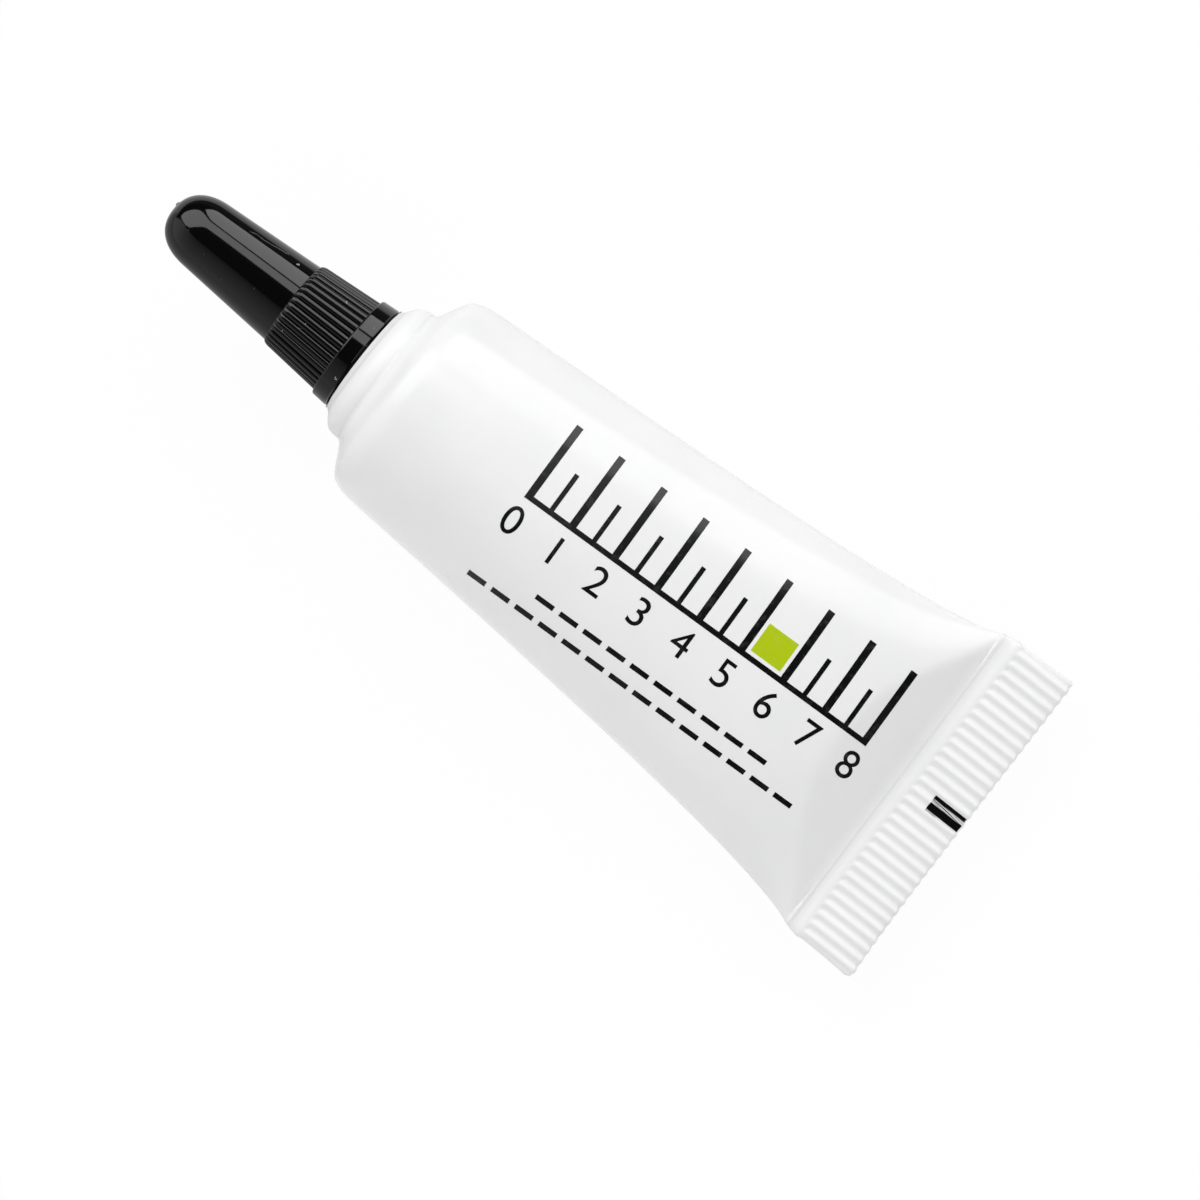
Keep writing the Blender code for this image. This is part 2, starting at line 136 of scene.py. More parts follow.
class Bench:
    """Blender's modelling operators, used on one piece at a time."""

    @staticmethod
    def put_down() -> None:
        """Leaves edit mode and selects nothing."""
        if bpy.context.object and bpy.context.object.mode != "OBJECT":
            bpy.ops.object.mode_set(mode="OBJECT")
        bpy.ops.object.select_all(action="DESELECT")

    @classmethod
    def take(cls, piece: bpy.types.Object) -> None:
        """Selects one piece alone, in object mode.

        Args:
            piece: The piece to select.
        """
        cls.put_down()
        piece.select_set(True)
        bpy.context.view_layer.objects.active = piece

    @classmethod
    def edit(cls, piece: bpy.types.Object) -> None:
        """Opens one piece in edit mode with all of it selected.

        Args:
            piece: The piece to open.
        """
        cls.take(piece)
        bpy.ops.object.mode_set(mode="EDIT")
        bpy.ops.mesh.select_mode(type="VERT")
        bpy.ops.mesh.select_all(action="SELECT")

    @classmethod
    def trace(cls, name: str, points: list[Point]) -> bpy.types.Object:
        """Draws a profile by extruding one point from place to place.

        Args:
            name: The new piece's name.
            points: The profile as (x, radius), drawn in the XY plane.

        Returns:
            The piece, which is still only a line.
        """
        cls.put_down()
        bpy.ops.mesh.primitive_plane_add(size=MM)
        piece = bpy.context.object
        piece.name = piece.data.name = name
        cls.edit(piece)
        bpy.ops.mesh.merge(type="CENTER")
        bpy.ops.transform.translate(value=(points[0][0], points[0][1], 0.0))
        for before, after in zip(points, points[1:]):
            step = (after[0] - before[0], after[1] - before[1], 0.0)
            bpy.ops.mesh.extrude_region_move(TRANSFORM_OT_translate={"value": step})
        return piece

    @classmethod
    def turn(cls, name: str, points: list[Point], steps: int) -> bpy.types.Object:
        """Spins a profile about the tube's axis.

        Args:
            name: The new piece's name.
            points: The profile as (x, radius).
            steps: How many sides the turned piece has.

        Returns:
            The turned piece, with doubles merged and its faces pointing out.
        """
        piece = cls.trace(name, points)
        bpy.ops.mesh.select_all(action="SELECT")
        bpy.ops.mesh.spin(steps=steps, angle=math.tau, center=(0.0, 0.0, 0.0), axis=(1.0, 0.0, 0.0))
        cls.close(piece)
        return piece

    @classmethod
    def close(cls, piece: bpy.types.Object) -> None:
        """Merges a piece's doubled points and points its faces out.

        Args:
            piece: The piece to close.
        """
        cls.edit(piece)
        bpy.ops.mesh.remove_doubles(threshold=MERGE)
        bpy.ops.mesh.normals_make_consistent(inside=False)
        cls.put_down()

    @classmethod
    def pick(cls, piece: bpy.types.Object, wanted: Callable[[Vector], bool]) -> None:
        """Opens a piece in edit mode and selects its points by their place.

        Args:
            piece: The piece to open.
            wanted: Says of a point's place whether it is selected.
        """
        cls.edit(piece)
        bpy.ops.mesh.select_all(action="DESELECT")
        shape = bmesh.from_edit_mesh(piece.data)
        for vertex in shape.verts:
            if wanted(vertex.co):
                vertex.select = True
        shape.select_flush_mode()
        bmesh.update_edit_mesh(piece.data)

    @classmethod
    def apply(cls, piece: bpy.types.Object, kind: str, **settings: Any) -> None:
        """Adds a modifier to a piece and applies it at once.

        Args:
            piece: The piece to change.
            kind: The modifier's type.
            settings: Its properties.
        """
        cls.take(piece)
        modifier = piece.modifiers.new(kind.lower(), kind)
        for key, value in settings.items():
            setattr(modifier, key, value)
        bpy.ops.object.modifier_apply(modifier=modifier.name)

    @classmethod
    def unite(cls, piece: bpy.types.Object, other: bpy.types.Object) -> None:
        """Makes another piece part of this one."""
        cls.apply(piece, "BOOLEAN", operation="UNION", object=other, solver="EXACT")
        bpy.data.objects.remove(other)

    @classmethod
    def smooth(cls, piece: bpy.types.Object, sharp_angle: float) -> None:
        """Shades a piece smooth.

        Args:
            piece: The piece to shade.
            sharp_angle: Edges sharper than this angle stay sharp.
        """
        cls.take(piece)
        bpy.ops.object.shade_smooth_by_angle(angle=sharp_angle, keep_sharp_edges=False)
        cls.put_down()

    @classmethod
    def join(cls, pieces: list[bpy.types.Object], name: str) -> bpy.types.Object:
        """Joins pieces into the first of them.

        Args:
            pieces: The pieces to join.
            name: The joined piece's name.

        Returns:
            The joined piece.
        """
        cls.take(pieces[0])
        for piece in pieces:
            piece.select_set(True)
        bpy.ops.object.join()
        joined = bpy.context.object
        joined.name = joined.data.name = name
        return joined


@dataclass(frozen=True)
class TubeFrame:
    """The tube's own frame, as it lies in the frame of the solids."""

    origin: Vector
    outward: Vector

    @classmethod
    def from_joint(cls, joint: dict[str, Any]) -> "TubeFrame":
        """The frame whose axis is that of the cap's hinge."""
        return cls(Vector(joint["pos_m"]), Vector(joint["axis"]).normalized())

    @property
    def matrix(self) -> Matrix:
        """The way from the tube's frame to the frame of the solids.

        Returns:
            A matrix that turns places in the one into places in the other.
        """
        along = -self.outward
        across = Vector((0.0, 1.0, 0.0))
        turn = Matrix((along, across, along.cross(across))).transposed()
        return Matrix.Translation(self.origin) @ turn.to_4x4()

    def lay(self, piece: bpy.types.Object) -> None:
        """Lays a finished piece down, with its place in its mesh.

        Args:
            piece: The piece, modelled in the tube's frame.
        """
        Bench.take(piece)
        piece.matrix_world = self.matrix
        bpy.ops.object.transform_apply(location=True, rotation=True, scale=True)
        Bench.put_down()


class Wire:
    """A node's output, which arithmetic can be written with."""

    def __init__(self, graph: "Graph", socket: bpy.types.NodeSocket | None) -> None:
        """Wraps a socket of a graph."""
        self.graph = graph
        self.socket = socket

    def maths(self, operation: str, *values: Any) -> "Wire":
        """Adds a Math node on these values."""
        return self.graph.node("ShaderNodeMath", {"operation": operation}, dict(enumerate(values)))

    def __add__(self, other: Any) -> "Wire":
        """This value plus another."""
        return self.maths("ADD", self, other)

    def __radd__(self, other: Any) -> "Wire":
        """Another value plus this one."""
        return self.maths("ADD", other, self)

    def __sub__(self, other: Any) -> "Wire":
        """This value less another."""
        return self.maths("SUBTRACT", self, other)

    def __rsub__(self, other: Any) -> "Wire":
        """Another value less this one."""
        return self.maths("SUBTRACT", other, self)

    def __mul__(self, other: Any) -> "Wire":
        """This value times another."""
        return self.maths("MULTIPLY", self, other)

    def __rmul__(self, other: Any) -> "Wire":
        """Another value times this one."""
        return self.maths("MULTIPLY", other, self)

    def __truediv__(self, other: Any) -> "Wire":
        """This value over another."""
        return self.maths("DIVIDE", self, other)

    def __rtruediv__(self, other: Any) -> "Wire":
        """Another value over this one."""
        return self.maths("DIVIDE", other, self)

    def __abs__(self) -> "Wire":
        """This value without its sign."""
        return self.maths("ABSOLUTE", self)

    def greater(self, other: Any) -> "Wire":
        """The larger of this value and another."""
        return self.maths("MAXIMUM", self, other)

    def lesser(self, other: Any) -> "Wire":
        """The smaller of this value and another."""
        return self.maths("MINIMUM", self, other)

    def spread(self, low: float, high: float) -> "Wire":
        """Stretches this value of 0 to 1 between low and high."""
        return self * (high - low) + low

    def ramp(self, low: float, high: float, start: float = 0.0, end: float = 1.0) -> "Wire":
        """Runs smoothly from start to end as this value goes from low to high."""
        settings = {"interpolation_type": "SMOOTHSTEP"}
        return self.graph.node("ShaderNodeMapRange", settings, {0: self, 1: low, 2: high, 3: start, 4: end})


class Graph:
    """The node tree of one material or world."""

    plastic_ior: ClassVar[float] = 1.5

    def __init__(self, owner: bpy.types.Material | bpy.types.World) -> None:
        """Empties the owner's tree.

        Args:
            owner: The material or world.
        """
        owner.use_nodes = True
        self.tree = owner.node_tree
        self.tree.nodes.clear()

    def node(
        self,
        kind: str,
        settings: dict[str, Any] | None = None,
        sockets: dict[str | int, Any] | None = None,
        output: str | int = 0,
    ) -> Wire:
        """Adds a node.

        Args:
            kind: The node's type.
            settings: Its properties, which are set first.
            sockets: Values or wires for its inputs, by name or number.
            output: Which of its outputs is wanted.

        Returns:
            That output.
        """
        node = self.tree.nodes.new(kind)
        for key, value in (settings or {}).items():
            setattr(node, key, value)
        for key, value in (sockets or {}).items():
            if isinstance(value, Wire):
                self.tree.links.new(value.socket, node.inputs[key])
            else:
                node.inputs[key].default_value = value
        return Wire(self, node.outputs[output] if node.outputs else None)

    def along_tube(self, tube: TubeFrame) -> Wire:
        """Turns and moves Object coordinates into the tube's own frame.

        Args:
            tube: The tube's frame.

        Returns:
            A place in that frame.
        """
        spot = self.node("ShaderNodeTexCoord", output="Object")
        place = {"Vector": spot, "Location": tube.origin, "Rotation": tube.matrix.to_euler()}
        return self.node("ShaderNodeMapping", {"vector_type": "TEXTURE"}, place)

    def axis(self, spot: Wire, name: str) -> Wire:
        """One coordinate of a place: X, Y or Z."""
        return self.node("ShaderNodeSeparateXYZ", sockets={0: spot}, output=name)

    def stretched(self, spot: Wire, scale: Triple) -> Wire:
        """A place multiplied along each axis."""
        return self.node("ShaderNodeVectorMath", {"operation": "MULTIPLY"}, {0: spot, 1: scale})

    def noise(self, spot: Wire, scale: float, detail: float = 2.0) -> Wire:
        """A noise value from about 0 to 1, with this many blots in a metre."""
        return self.node("ShaderNodeTexNoise", sockets={"Vector": spot, "Scale": scale, "Detail": detail})

    def mixed(self, share: Wire, first: Any, second: Any) -> Wire:
        """A colour between two others."""
        ends = [end if isinstance(end, Wire) else (*end, 1.0) for end in (first, second)]
        return self.node("ShaderNodeMix", {"data_type": "RGBA"}, {0: share, 6: ends[0], 7: ends[1]}, output=2)

    def bump(self, height: Wire, depth: float) -> Wire:
        """A normal from a height, whose range of 0 to 1 is this deep."""
        return self.node("ShaderNodeBump", sockets={"Height": height, "Distance": depth, "Strength": 1.0})

    def principled(self, **sockets: Any) -> Wire:
        """A Principled shader, whose inputs are named with _ for a space."""
        named = {key.replace("_", " "): value for key, value in sockets.items()}
        return self.node("ShaderNodeBsdfPrincipled", sockets={"IOR": self.plastic_ior, **named})

    def glow(self, level: Wire) -> Wire:
        """A shader that gives light of this level and reflects none."""
        dark = {"Base_Color": (0.0, 0.0, 0.0, 1.0), "Specular_IOR_Level": 0.0}
        return self.principled(**dark, Emission_Color=level, Emission_Strength=1.0)

    def out(self, shader: Wire, kind: str = "ShaderNodeOutputMaterial") -> None:
        """Sends a shader to the tree's output."""
        self.node(kind, sockets={"Surface": shader})


def cover(piece: bpy.types.Object, material: bpy.types.Material) -> None:
    """Makes one material the whole finish of a piece."""
    piece.data.materials.clear()
    piece.data.materials.append(material)


@dataclass(frozen=True)
class Finish:
    """What a piece is made of, painted by places in the tube's own frame."""

    title: ClassVar[str]
    tube: TubeFrame

    def put_on(self, piece: bpy.types.Object) -> None:
        """Makes this the finish of a piece.

        Args:
            piece: The piece to finish.
        """
        made = bpy.data.materials.new(self.title)
        graph = Graph(made)
        graph.out(self.shader(graph, graph.along_tube(self.tube)))
        cover(piece, made)

    def shader(self, graph: Graph, spot: Wire) -> Wire:
        """The finish's shader, which each kind of finish makes in its own way."""
        raise NotImplementedError


@dataclass(frozen=True)
class SleeveFinish(Finish):
    """White extruded polyethylene: glossy, faintly drawn along the tube."""

    title: ClassVar[str] = "white_sleeve"
    white: Colour = (0.885, 0.885, 0.885)
    shade: Colour = (0.858, 0.86, 0.863)
    roughness: Point = (0.17, 0.23)
    gloss: float = 0.3
    clouds_per_metre: float = 140.0
    cloud_range: Point = (0.3, 0.75)
    lines_per_metre: Triple = (60.0, 900.0, 900.0)
    peel_per_metre: float = 1900.0
    peel_share: float = 0.5
    relief: float = 0.004 * MM

    def shader(self, graph: Graph, spot: Wire) -> Wire:
        """Clouds the white and draws faint lines along the tube.

        Args:
            graph: The node tree.
            spot: A place in the tube's frame.

        Returns:
            The shader.
        """
        clouds = graph.noise(spot, self.clouds_per_metre, detail=3.0)
        lines = graph.noise(graph.stretched(spot, self.lines_per_metre), 1.0)
        peel = graph.noise(spot, self.peel_per_metre)
        return graph.principled(
            Base_Color=graph.mixed(clouds.ramp(*self.cloud_range), self.white, self.shade),
            Roughness=clouds.spread(*self.roughness),
            Specular_IOR_Level=self.gloss,
            Normal=graph.bump(peel * self.peel_share + lines, self.relief),
        )


@dataclass(frozen=True)
class HeadFinish(Finish):
    """White moulded polyethylene, duller than the sleeve, with painted shade in the gap beside the cap."""

    title: ClassVar[str] = "white_head"
    white: Colour = (0.885, 0.885, 0.885)
    shade: Colour = (0.862, 0.862, 0.867)
    roughness: Point = (0.45, 0.55)
    gloss: float = 0.35
    clouds_per_metre: float = 260.0
    cloud_range: Point = (0.35, 0.7)
    peel_per_metre: float = 2400.0
    relief: float = 0.003 * MM
    # Painted shade: the gap colour darkens the collar next to the cap's rim and fades out between these two
    # places along the tube.
    gap_x: Point = (0.42 * MM, 0.6 * MM)
    gap: Colour = (0.75, 0.75, 0.75)

    def shader(self, graph: Graph, spot: Wire) -> Wire:
        """Clouds the white and paints shade into it in the gap beside the cap.

        Args:
            graph: The node tree.
            spot: A place in the tube's frame.

        Returns:
            The shader.
        """
        clouds = graph.noise(spot, self.clouds_per_metre, detail=3.0)
        plain = graph.mixed(clouds.ramp(*self.cloud_range), self.white, self.shade)
        # Painted shade of the cap's rim on the collar, gone past the second place.
        unshaded = graph.axis(spot, "X").ramp(*self.gap_x)
        return graph.principled(
            Base_Color=graph.mixed(unshaded, self.gap, plain),
            Roughness=clouds.spread(*self.roughness),
            Specular_IOR_Level=self.gloss,
            Normal=graph.bump(graph.noise(spot, self.peel_per_metre), self.relief),
        )


@dataclass(frozen=True)
class CapFinish(Finish):
    """Glossy black moulded plastic with a scratch along the nose, a few flecks and a little dust."""

    title: ClassVar[str] = "black_cap"
    black: Colour = (0.0014, 0.0014, 0.0015)
    worn: Colour = (0.3, 0.3, 0.3)
    roughness: Point = (0.05, 0.09)
    worn_roughness: float = 0.2
    clouds_per_metre: float = 420.0
    cloud_share: float = 0.4
    relief: float = 0.002 * MM
    dust_per_metre: float = 2600.0
    dust_range: Point = (0.82, 0.88)
    dust_share: float = 0.2
    scratch_x: Point = (-13.4 * MM, -9.6 * MM)
    scratch_y: Point = (2.36 * MM, 2.9 * MM)
    scratch_half_width: float = 0.022 * MM
    scratch_fade: float = 0.3 * MM
    scratch_share: float = 0.3
    waver: float = 0.3 * MM
    wavers_per_metre: float = 900.0
    fleck_core: float = 0.6
    flecks_mm: tuple[Triple, ...] = (
        (-8.62, 2.7, 0.1),
        (-8.72, 2.64, 0.07),
        (-0.62, -2.55, 0.07),
        (-0.55, -2.66, 0.07),
        (-0.45, -2.62, 0.06),
        (-3.71, 2.73, 0.07),
        (-3.62, 2.65, 0.05),
        (-5.12, -0.67, 0.06),
        (-6.3, -2.25, 0.07),
    )

    def scratch(self, graph: Graph, spot: Wire) -> Wire:
        """Draws the wavering scratch along the nose.

        Args:
            graph: The node tree.
            spot: A place in the tube's frame.

        Returns:
            How worn the place is, from 0 to 1.
        """
        x, y = graph.axis(spot, "X"), graph.axis(spot, "Y")
        (start_x, end_x), (start_y, end_y) = self.scratch_x, self.scratch_y
        slope = (end_y - start_y) / (end_x - start_x)
        waver = (graph.noise(spot, self.wavers_per_metre) - 0.5) * self.waver
        line = x * slope + waver + (start_y - start_x * slope)
        across = 1.0 - abs(y - line).ramp(self.scratch_half_width, 2 * self.scratch_half_width)
        along = x.ramp(start_x, start_x + self.scratch_fade) * x.ramp(end_x, end_x - self.scratch_fade)
        return across * along * self.scratch_share

    def fleck(self, graph: Graph, flat: Wire, x: float, y: float, radius: float) -> Wire:
        """Draws one fleck.

        Args:
            graph: The node tree.
            flat: A place in the tube's frame, without its height.
            x: The fleck's place along the tube.
            y: Its place across the tube.
            radius: Its size.

        Returns:
            How worn the place is, from 0 to 1.
        """
        sockets = {0: flat, 1: (x, y, 0.0)}
        away = graph.node("ShaderNodeVectorMath", {"operation": "DISTANCE"}, sockets, output="Value")
        return 1.0 - away.ramp(self.fleck_core * radius, radius)

    def shader(self, graph: Graph, spot: Wire) -> Wire:
        """Lays the scratch, the flecks and the dust on the black.

        Args:
            graph: The node tree.
            spot: A place in the tube's frame.

        Returns:
            The shader.
        """
        clouds = graph.noise(spot, self.clouds_per_metre, detail=4.0)
        dust = graph.noise(spot, self.dust_per_metre, detail=0.0).ramp(*self.dust_range)
        flat = graph.stretched(spot, (1.0, 1.0, 0.0))
        marks = [dust * self.dust_share, self.scratch(graph, spot)]
        marks += [self.fleck(graph, flat, x * MM, y * MM, radius * MM) for x, y, radius in self.flecks_mm]
        wear = functools.reduce(Wire.greater, marks)
        return graph.principled(
            Base_Color=graph.mixed(wear, self.black, self.worn),
            Roughness=clouds.spread(*self.roughness) + wear * self.worn_roughness,
            Normal=graph.bump(clouds * self.cloud_share + wear, self.relief),
        )


@dataclass(frozen=True)
class SealFinish(Finish):
    """Soft natural polyethylene."""

    title: ClassVar[str] = "natural_seal"
    natural: Colour = (0.76, 0.75, 0.71)
    yellowed: Colour = (0.7, 0.685, 0.62)
    roughness: Point = (0.36, 0.51)
    clouds_per_metre: float = 700.0
    cloud_range: Point = (0.35, 0.7)
    peel_per_metre: float = 3000.0
    relief: float = 0.003 * MM

    def shader(self, graph: Graph, spot: Wire) -> Wire:
        """Clouds the plastic with a yellowed tone.

        Args:
            graph: The node tree.
            spot: A place in the tube's frame.

        Returns:
            The shader.
        """
        clouds = graph.noise(spot, self.clouds_per_metre, detail=3.0)
        return graph.principled(
            Base_Color=graph.mixed(clouds.ramp(*self.cloud_range), self.natural, self.yellowed),
            Roughness=clouds.spread(*self.roughness),
            Normal=graph.bump(graph.noise(spot, self.peel_per_metre), self.relief),
        )


@dataclass(frozen=True)
class GreaseFinish(Finish):
    """Whitish silicone grease, wet and softly streaked."""

    title: ClassVar[str] = "clear_grease"
    pale: Colour = (0.84, 0.84, 0.81)
    deep: Colour = (0.72, 0.73, 0.68)
    roughness: Point = (0.1, 0.22)
    wet: float = 0.5
    streaks_per_metre: Triple = (200.0, 900.0, 900.0)
    streak_range: Point = (0.3, 0.7)
    relief: float = 0.03 * MM

    def shader(self, graph: Graph, spot: Wire) -> Wire:
        """Streaks the grease along the tube.

        Args:
            graph: The node tree.
            spot: A place in the tube's frame.

        Returns:
            The shader.
        """
        streaks = graph.noise(graph.stretched(spot, self.streaks_per_metre), 1.0, detail=3.0)
        return graph.principled(
            Base_Color=graph.mixed(streaks.ramp(*self.streak_range), self.pale, self.deep),
            Roughness=streaks.spread(*self.roughness),
            Normal=graph.bump(streaks, self.relief),
            Coat_Weight=self.wet,
        )


class InkColour(Enum):
    """The inks of the print on the sleeve."""

    BLACK = (0.004, 0.004, 0.0045)
    LIME = (0.445, 0.578, 0.004)


@dataclass(frozen=True)
class InkFinish(Finish):
    """Screen-printed ink, a little thin in places."""

    colour: InkColour
    faded: Colour = (0.6, 0.6, 0.6)
    thinned: float = 0.03
    roughness: float = 0.2
    thin_roughness: float = 2.0
    gloss: float = 0.35
    blots_per_metre: float = 1500.0
    blot_range: Point = (0.5, 0.8)
    peel_per_metre: float = 2600.0
    relief: float = 0.003 * MM

    @property
    def title(self) -> str:
        """The material's name, after its ink."""
        return f"{self.colour.name.lower()}_ink"

    def shader(self, graph: Graph, spot: Wire) -> Wire:
        """Thins the ink in blots.

        Args:
            graph: The node tree.
            spot: A place in the tube's frame.

        Returns:
            The shader.
        """
        thin = graph.noise(spot, self.blots_per_metre, detail=3.0).ramp(*self.blot_range, 0.0, self.thinned)
        return graph.principled(
            Base_Color=graph.mixed(thin, self.colour.value, self.faded),
            Roughness=thin * self.thin_roughness + self.roughness,
            Specular_IOR_Level=self.gloss,
            Normal=graph.bump(graph.noise(spot, self.peel_per_metre), self.relief),
        )


@dataclass(frozen=True)
class ScuffedInkFinish(Finish):
    """Black ink with a scuffed stripe through which the white shows, and a smeared edge."""

    title: ClassVar[str] = "scuffed_ink"
    stripe_y: float
    stripe_half_width: float
    edge_y: float
    smear_x: float
    white: Colour = (0.86, 0.86, 0.86)
    roughness: Point = (0.2, 0.3)
    gloss: float = 0.03
    slant: float = 0.1
    streaks_per_metre: Point = (350.0, 12000.0)
    streak_range: Point = (0.42, 0.55)
    stripe_edge: Point = (0.7, 1.1)
    smear_length: float = 0.5 * MM
    smear_bare: Point = (0.55, 1.0)
    edge_blur: float = 0.02 * MM
    relief: float = 0.004 * MM

    def shader(self, graph: Graph, spot: Wire) -> Wire:
        """Scrapes the stripe bare in streaks and smears what lies below the edge.

        Args:
            graph: The node tree.
            spot: A place in the tube's frame.

        Returns:
            The shader.
        """
        x, y = graph.axis(spot, "X"), graph.axis(spot, "Y")
        along, across = self.streaks_per_metre
        slanted = (y + x * self.slant) * across
        line = graph.node("ShaderNodeCombineXYZ", sockets={0: x * along, 1: slanted})
        streaks = graph.noise(line, 1.0).ramp(*self.streak_range)
        inside = 1.0 - (abs(y - self.stripe_y) / self.stripe_half_width).ramp(*self.stripe_edge)
        smear = x.ramp(self.smear_x, self.smear_x + self.smear_length, *self.smear_bare)
        below = y.ramp(self.edge_y, self.edge_y - self.edge_blur) * smear
        bare = (inside * streaks).greater(below)
        return graph.principled(
            Base_Color=graph.mixed(bare, InkColour.BLACK.value, self.white),
            Roughness=bare.spread(*self.roughness),
            Specular_IOR_Level=self.gloss,
            Normal=graph.bump(streaks, self.relief),
        )


@dataclass(frozen=True)
class Belly:
    """The form of the sleeve: a round tube pressed flat towards its crimp."""

    radius: float = 9.5 * MM
    shoulder_x: float = 5.444 * MM
    crimp_x: float = 54.5 * MM
    crimp_half: float = 0.45 * MM
    crimp_length: float = 6.6 * MM
    ridge_x: float = 55.72 * MM
    fullness: float = 0.315
    wedge_angle: float = math.radians(36.0)
    hollow_half: float = 0.4 * MM
    hollow_tail: float = 0.2 * MM
    web_per_inset: float = 2.0
    pressed_length: float = 36.0 * MM
    table_round: float = 0.12 * MM
    skew_width: float = 29.74 * MM
    skew_power: int = 6
    crease_skew_mm: Triple = (-0.74, 0.74, 0.0)
    ridge_skew_mm: Triple = (-0.28, 0.08, 0.43)
    end_skew_mm: Triple = (-0.33, 0.24, 0.385)
    softness: float = 0.9 * MM
    hip_round: float = 0.28 * MM
    lip: float = 0.1 * MM
    edge_runout: float = 0.4 * MM
    lens_x: Point = (40.0 * MM, 53.0 * MM)
    lens_powers: Point = (0.5, 0.7)
    edge_power: float = 40.0
    fillet: float = 0.85 * MM
    flare_mm: tuple[Point, ...] = (
        (51.0, 13.53),
        (52.65, 13.9),
        (53.4, 14.11),
        (54.5, 14.5),
        (55.06, 14.68),
        (55.55, 14.79),
        (56.05, 14.72),
        (58.0, 14.75),
        (61.1, 14.87),
    )

    @property
    def end_x(self) -> float:
        """Where the crimp ends."""
        return self.crimp_x + self.crimp_length

    def end(self, inset: float) -> float:
        """Where the surface this far inside the skin closes."""
        return self.crimp_x - self.web_per_inset * inset

    def least_half(self, inset: float) -> float:
        """Half the height of the flat end, or of the slit in which a hollow ends."""
        return self.hollow_half if inset else self.crimp_half

    def full_depth(self, x: float, inset: float = 0.0) -> float:
        """Half the height of a full tube at x."""
        share = (self.end(inset) - x) / (self.end(inset) - self.shoulder_x)
        return (self.radius - inset) * clamped(share) ** self.fullness

    def fillet_rise(self, x: float) -> float:
        """How far the hollow between wedge and crimp stands above the crimp at x."""
        before_end = max(0.0, self.crimp_x + self.fillet - x)
        return math.tan(self.wedge_angle) * before_end * before_end / (4 * self.fillet)

    def wedge(self, x: float, inset: float = 0.0) -> float:
        """The straight wedge that runs into the crimp, with a hollow at its foot.

        Args:
            x: A place along the tube.
            inset: How far inside the skin the surface lies.

        Returns:
            Half the wedge's height there.
        """
        if not inset and x > self.crimp_x - self.fillet:
            return self.crimp_half + self.fillet_rise(x)
        return self.least_half(inset) + max(0.0, self.end(inset) - x) * math.tan(self.wedge_angle)

    def depth(self, x: float, inset: float = 0.0) -> float:
        """The height that the full tube and the wedge leave, in the middle of the tube.

        Args:
            x: A place along the tube.
            inset: How far inside the skin the surface lies.

        Returns:
            Half the pressed tube's height there.
        """
        if x >= self.end(inset):
            return self.least_half(inset)
        rounded = soft_least(self.full_depth(x, inset), self.wedge(x, inset), self.softness)
        return max(self.least_half(inset), rounded)

    def side_round(self, across: float) -> float:
        """How much of its thickness the flat end keeps at a place across it, from 1 to -1."""
        return math.sqrt(max(0.0, 1 - abs(across) ** self.edge_power))

    def skin_half(self, x: float, across: float) -> float:
        """The height of the skin at a place: a round section that the wedge cuts in two hips.

        Args:
            x: The place along the tube.
            across: The place across it, from 1 at +Y to -1.

        Returns:
            Half the skin's height there.
        """
        start, end = self.lens_x
        power = blended(*self.lens_powers, (x - start) / (end - start))
        section = self.full_depth(min(x, self.crimp_x - self.lip)) * max(0.0, 1 - across * across) ** power
        near = 1 - (self.crimp_x - x) / self.edge_runout
        least = blended(0.0, self.wedge(self.crimp_x), near) * self.side_round(across)
        return max(least, soft_least(section, self.wedge(x), self.hip_round))

    def width(self, x: float) -> float:
        """The width of the skin at x, which keeps the round tube's girth up to the flare.

        Args:
            x: A place along the tube.

        Returns:
            Half the width there.
        """
        if x > self.flare_mm[1][0] * MM:
            return through(self.flare_mm, x / MM) * MM
        girth = (math.pi / 2 * self.radius) ** GIRTH_POWER
        return (girth - self.full_depth(x) ** GIRTH_POWER) ** (1 / GIRTH_POWER)

    def table_depth(self, x: float) -> float:
        """Depth of the table below the axis at x."""
        drop = self.radius - self.full_depth(self.shoulder_x + self.pressed_length)
        return self.radius - (x - self.shoulder_x) * drop / self.pressed_length

    def flatness(self, x: float) -> float:
        """How flat the skin is at x, from 0 for round to nearly 1 at the crimp."""
        return 1 - self.depth(x) / self.radius

    def across(self, x: float, turn: float) -> float:
        """Where a point that far round the tube lies across it, from 1 at +Y to -1."""
        flatness = self.flatness(x)
        return (1 - flatness) * math.cos(turn) + flatness * (1 - 2 * turn / math.pi)

    def skew(self, x: float, y: float) -> float:
        """How far the askew crimp moves a point along the tube, more at its -Y side.

        Args:
            x: The point's place along the tube.
            y: Its place across it.

        Returns:
            The way that it is moved.
        """
        if x <= self.ridge_x:
            start, end = self.crease_skew_mm, self.ridge_skew_mm
            share = (x - self.crimp_x) / (self.ridge_x - self.crimp_x)
        else:
            start, end = self.ridge_skew_mm, self.end_skew_mm
            share = (x - self.ridge_x) / (self.end_x - self.ridge_x)
        moved, sheared, hooked = (blended(low, high, share) for low, high in zip(start, end))
        across = 0.5 - y / self.skew_width
        return (moved + sheared * across + hooked * abs(across) ** self.skew_power) * MM

    def slanted(self, x: float, y: float) -> float:
        """The place along the tube of a point at x, y once the flat end is pressed a little askew."""
        return x + self.skew(x, y) * self.flatness(x) ** 2

    def on_table(self, x: float, height: float, inset: float) -> float:
        """A height, raised to the table where it would be below it."""
        return -soft_least(-height, self.table_depth(x) - inset, self.table_round)

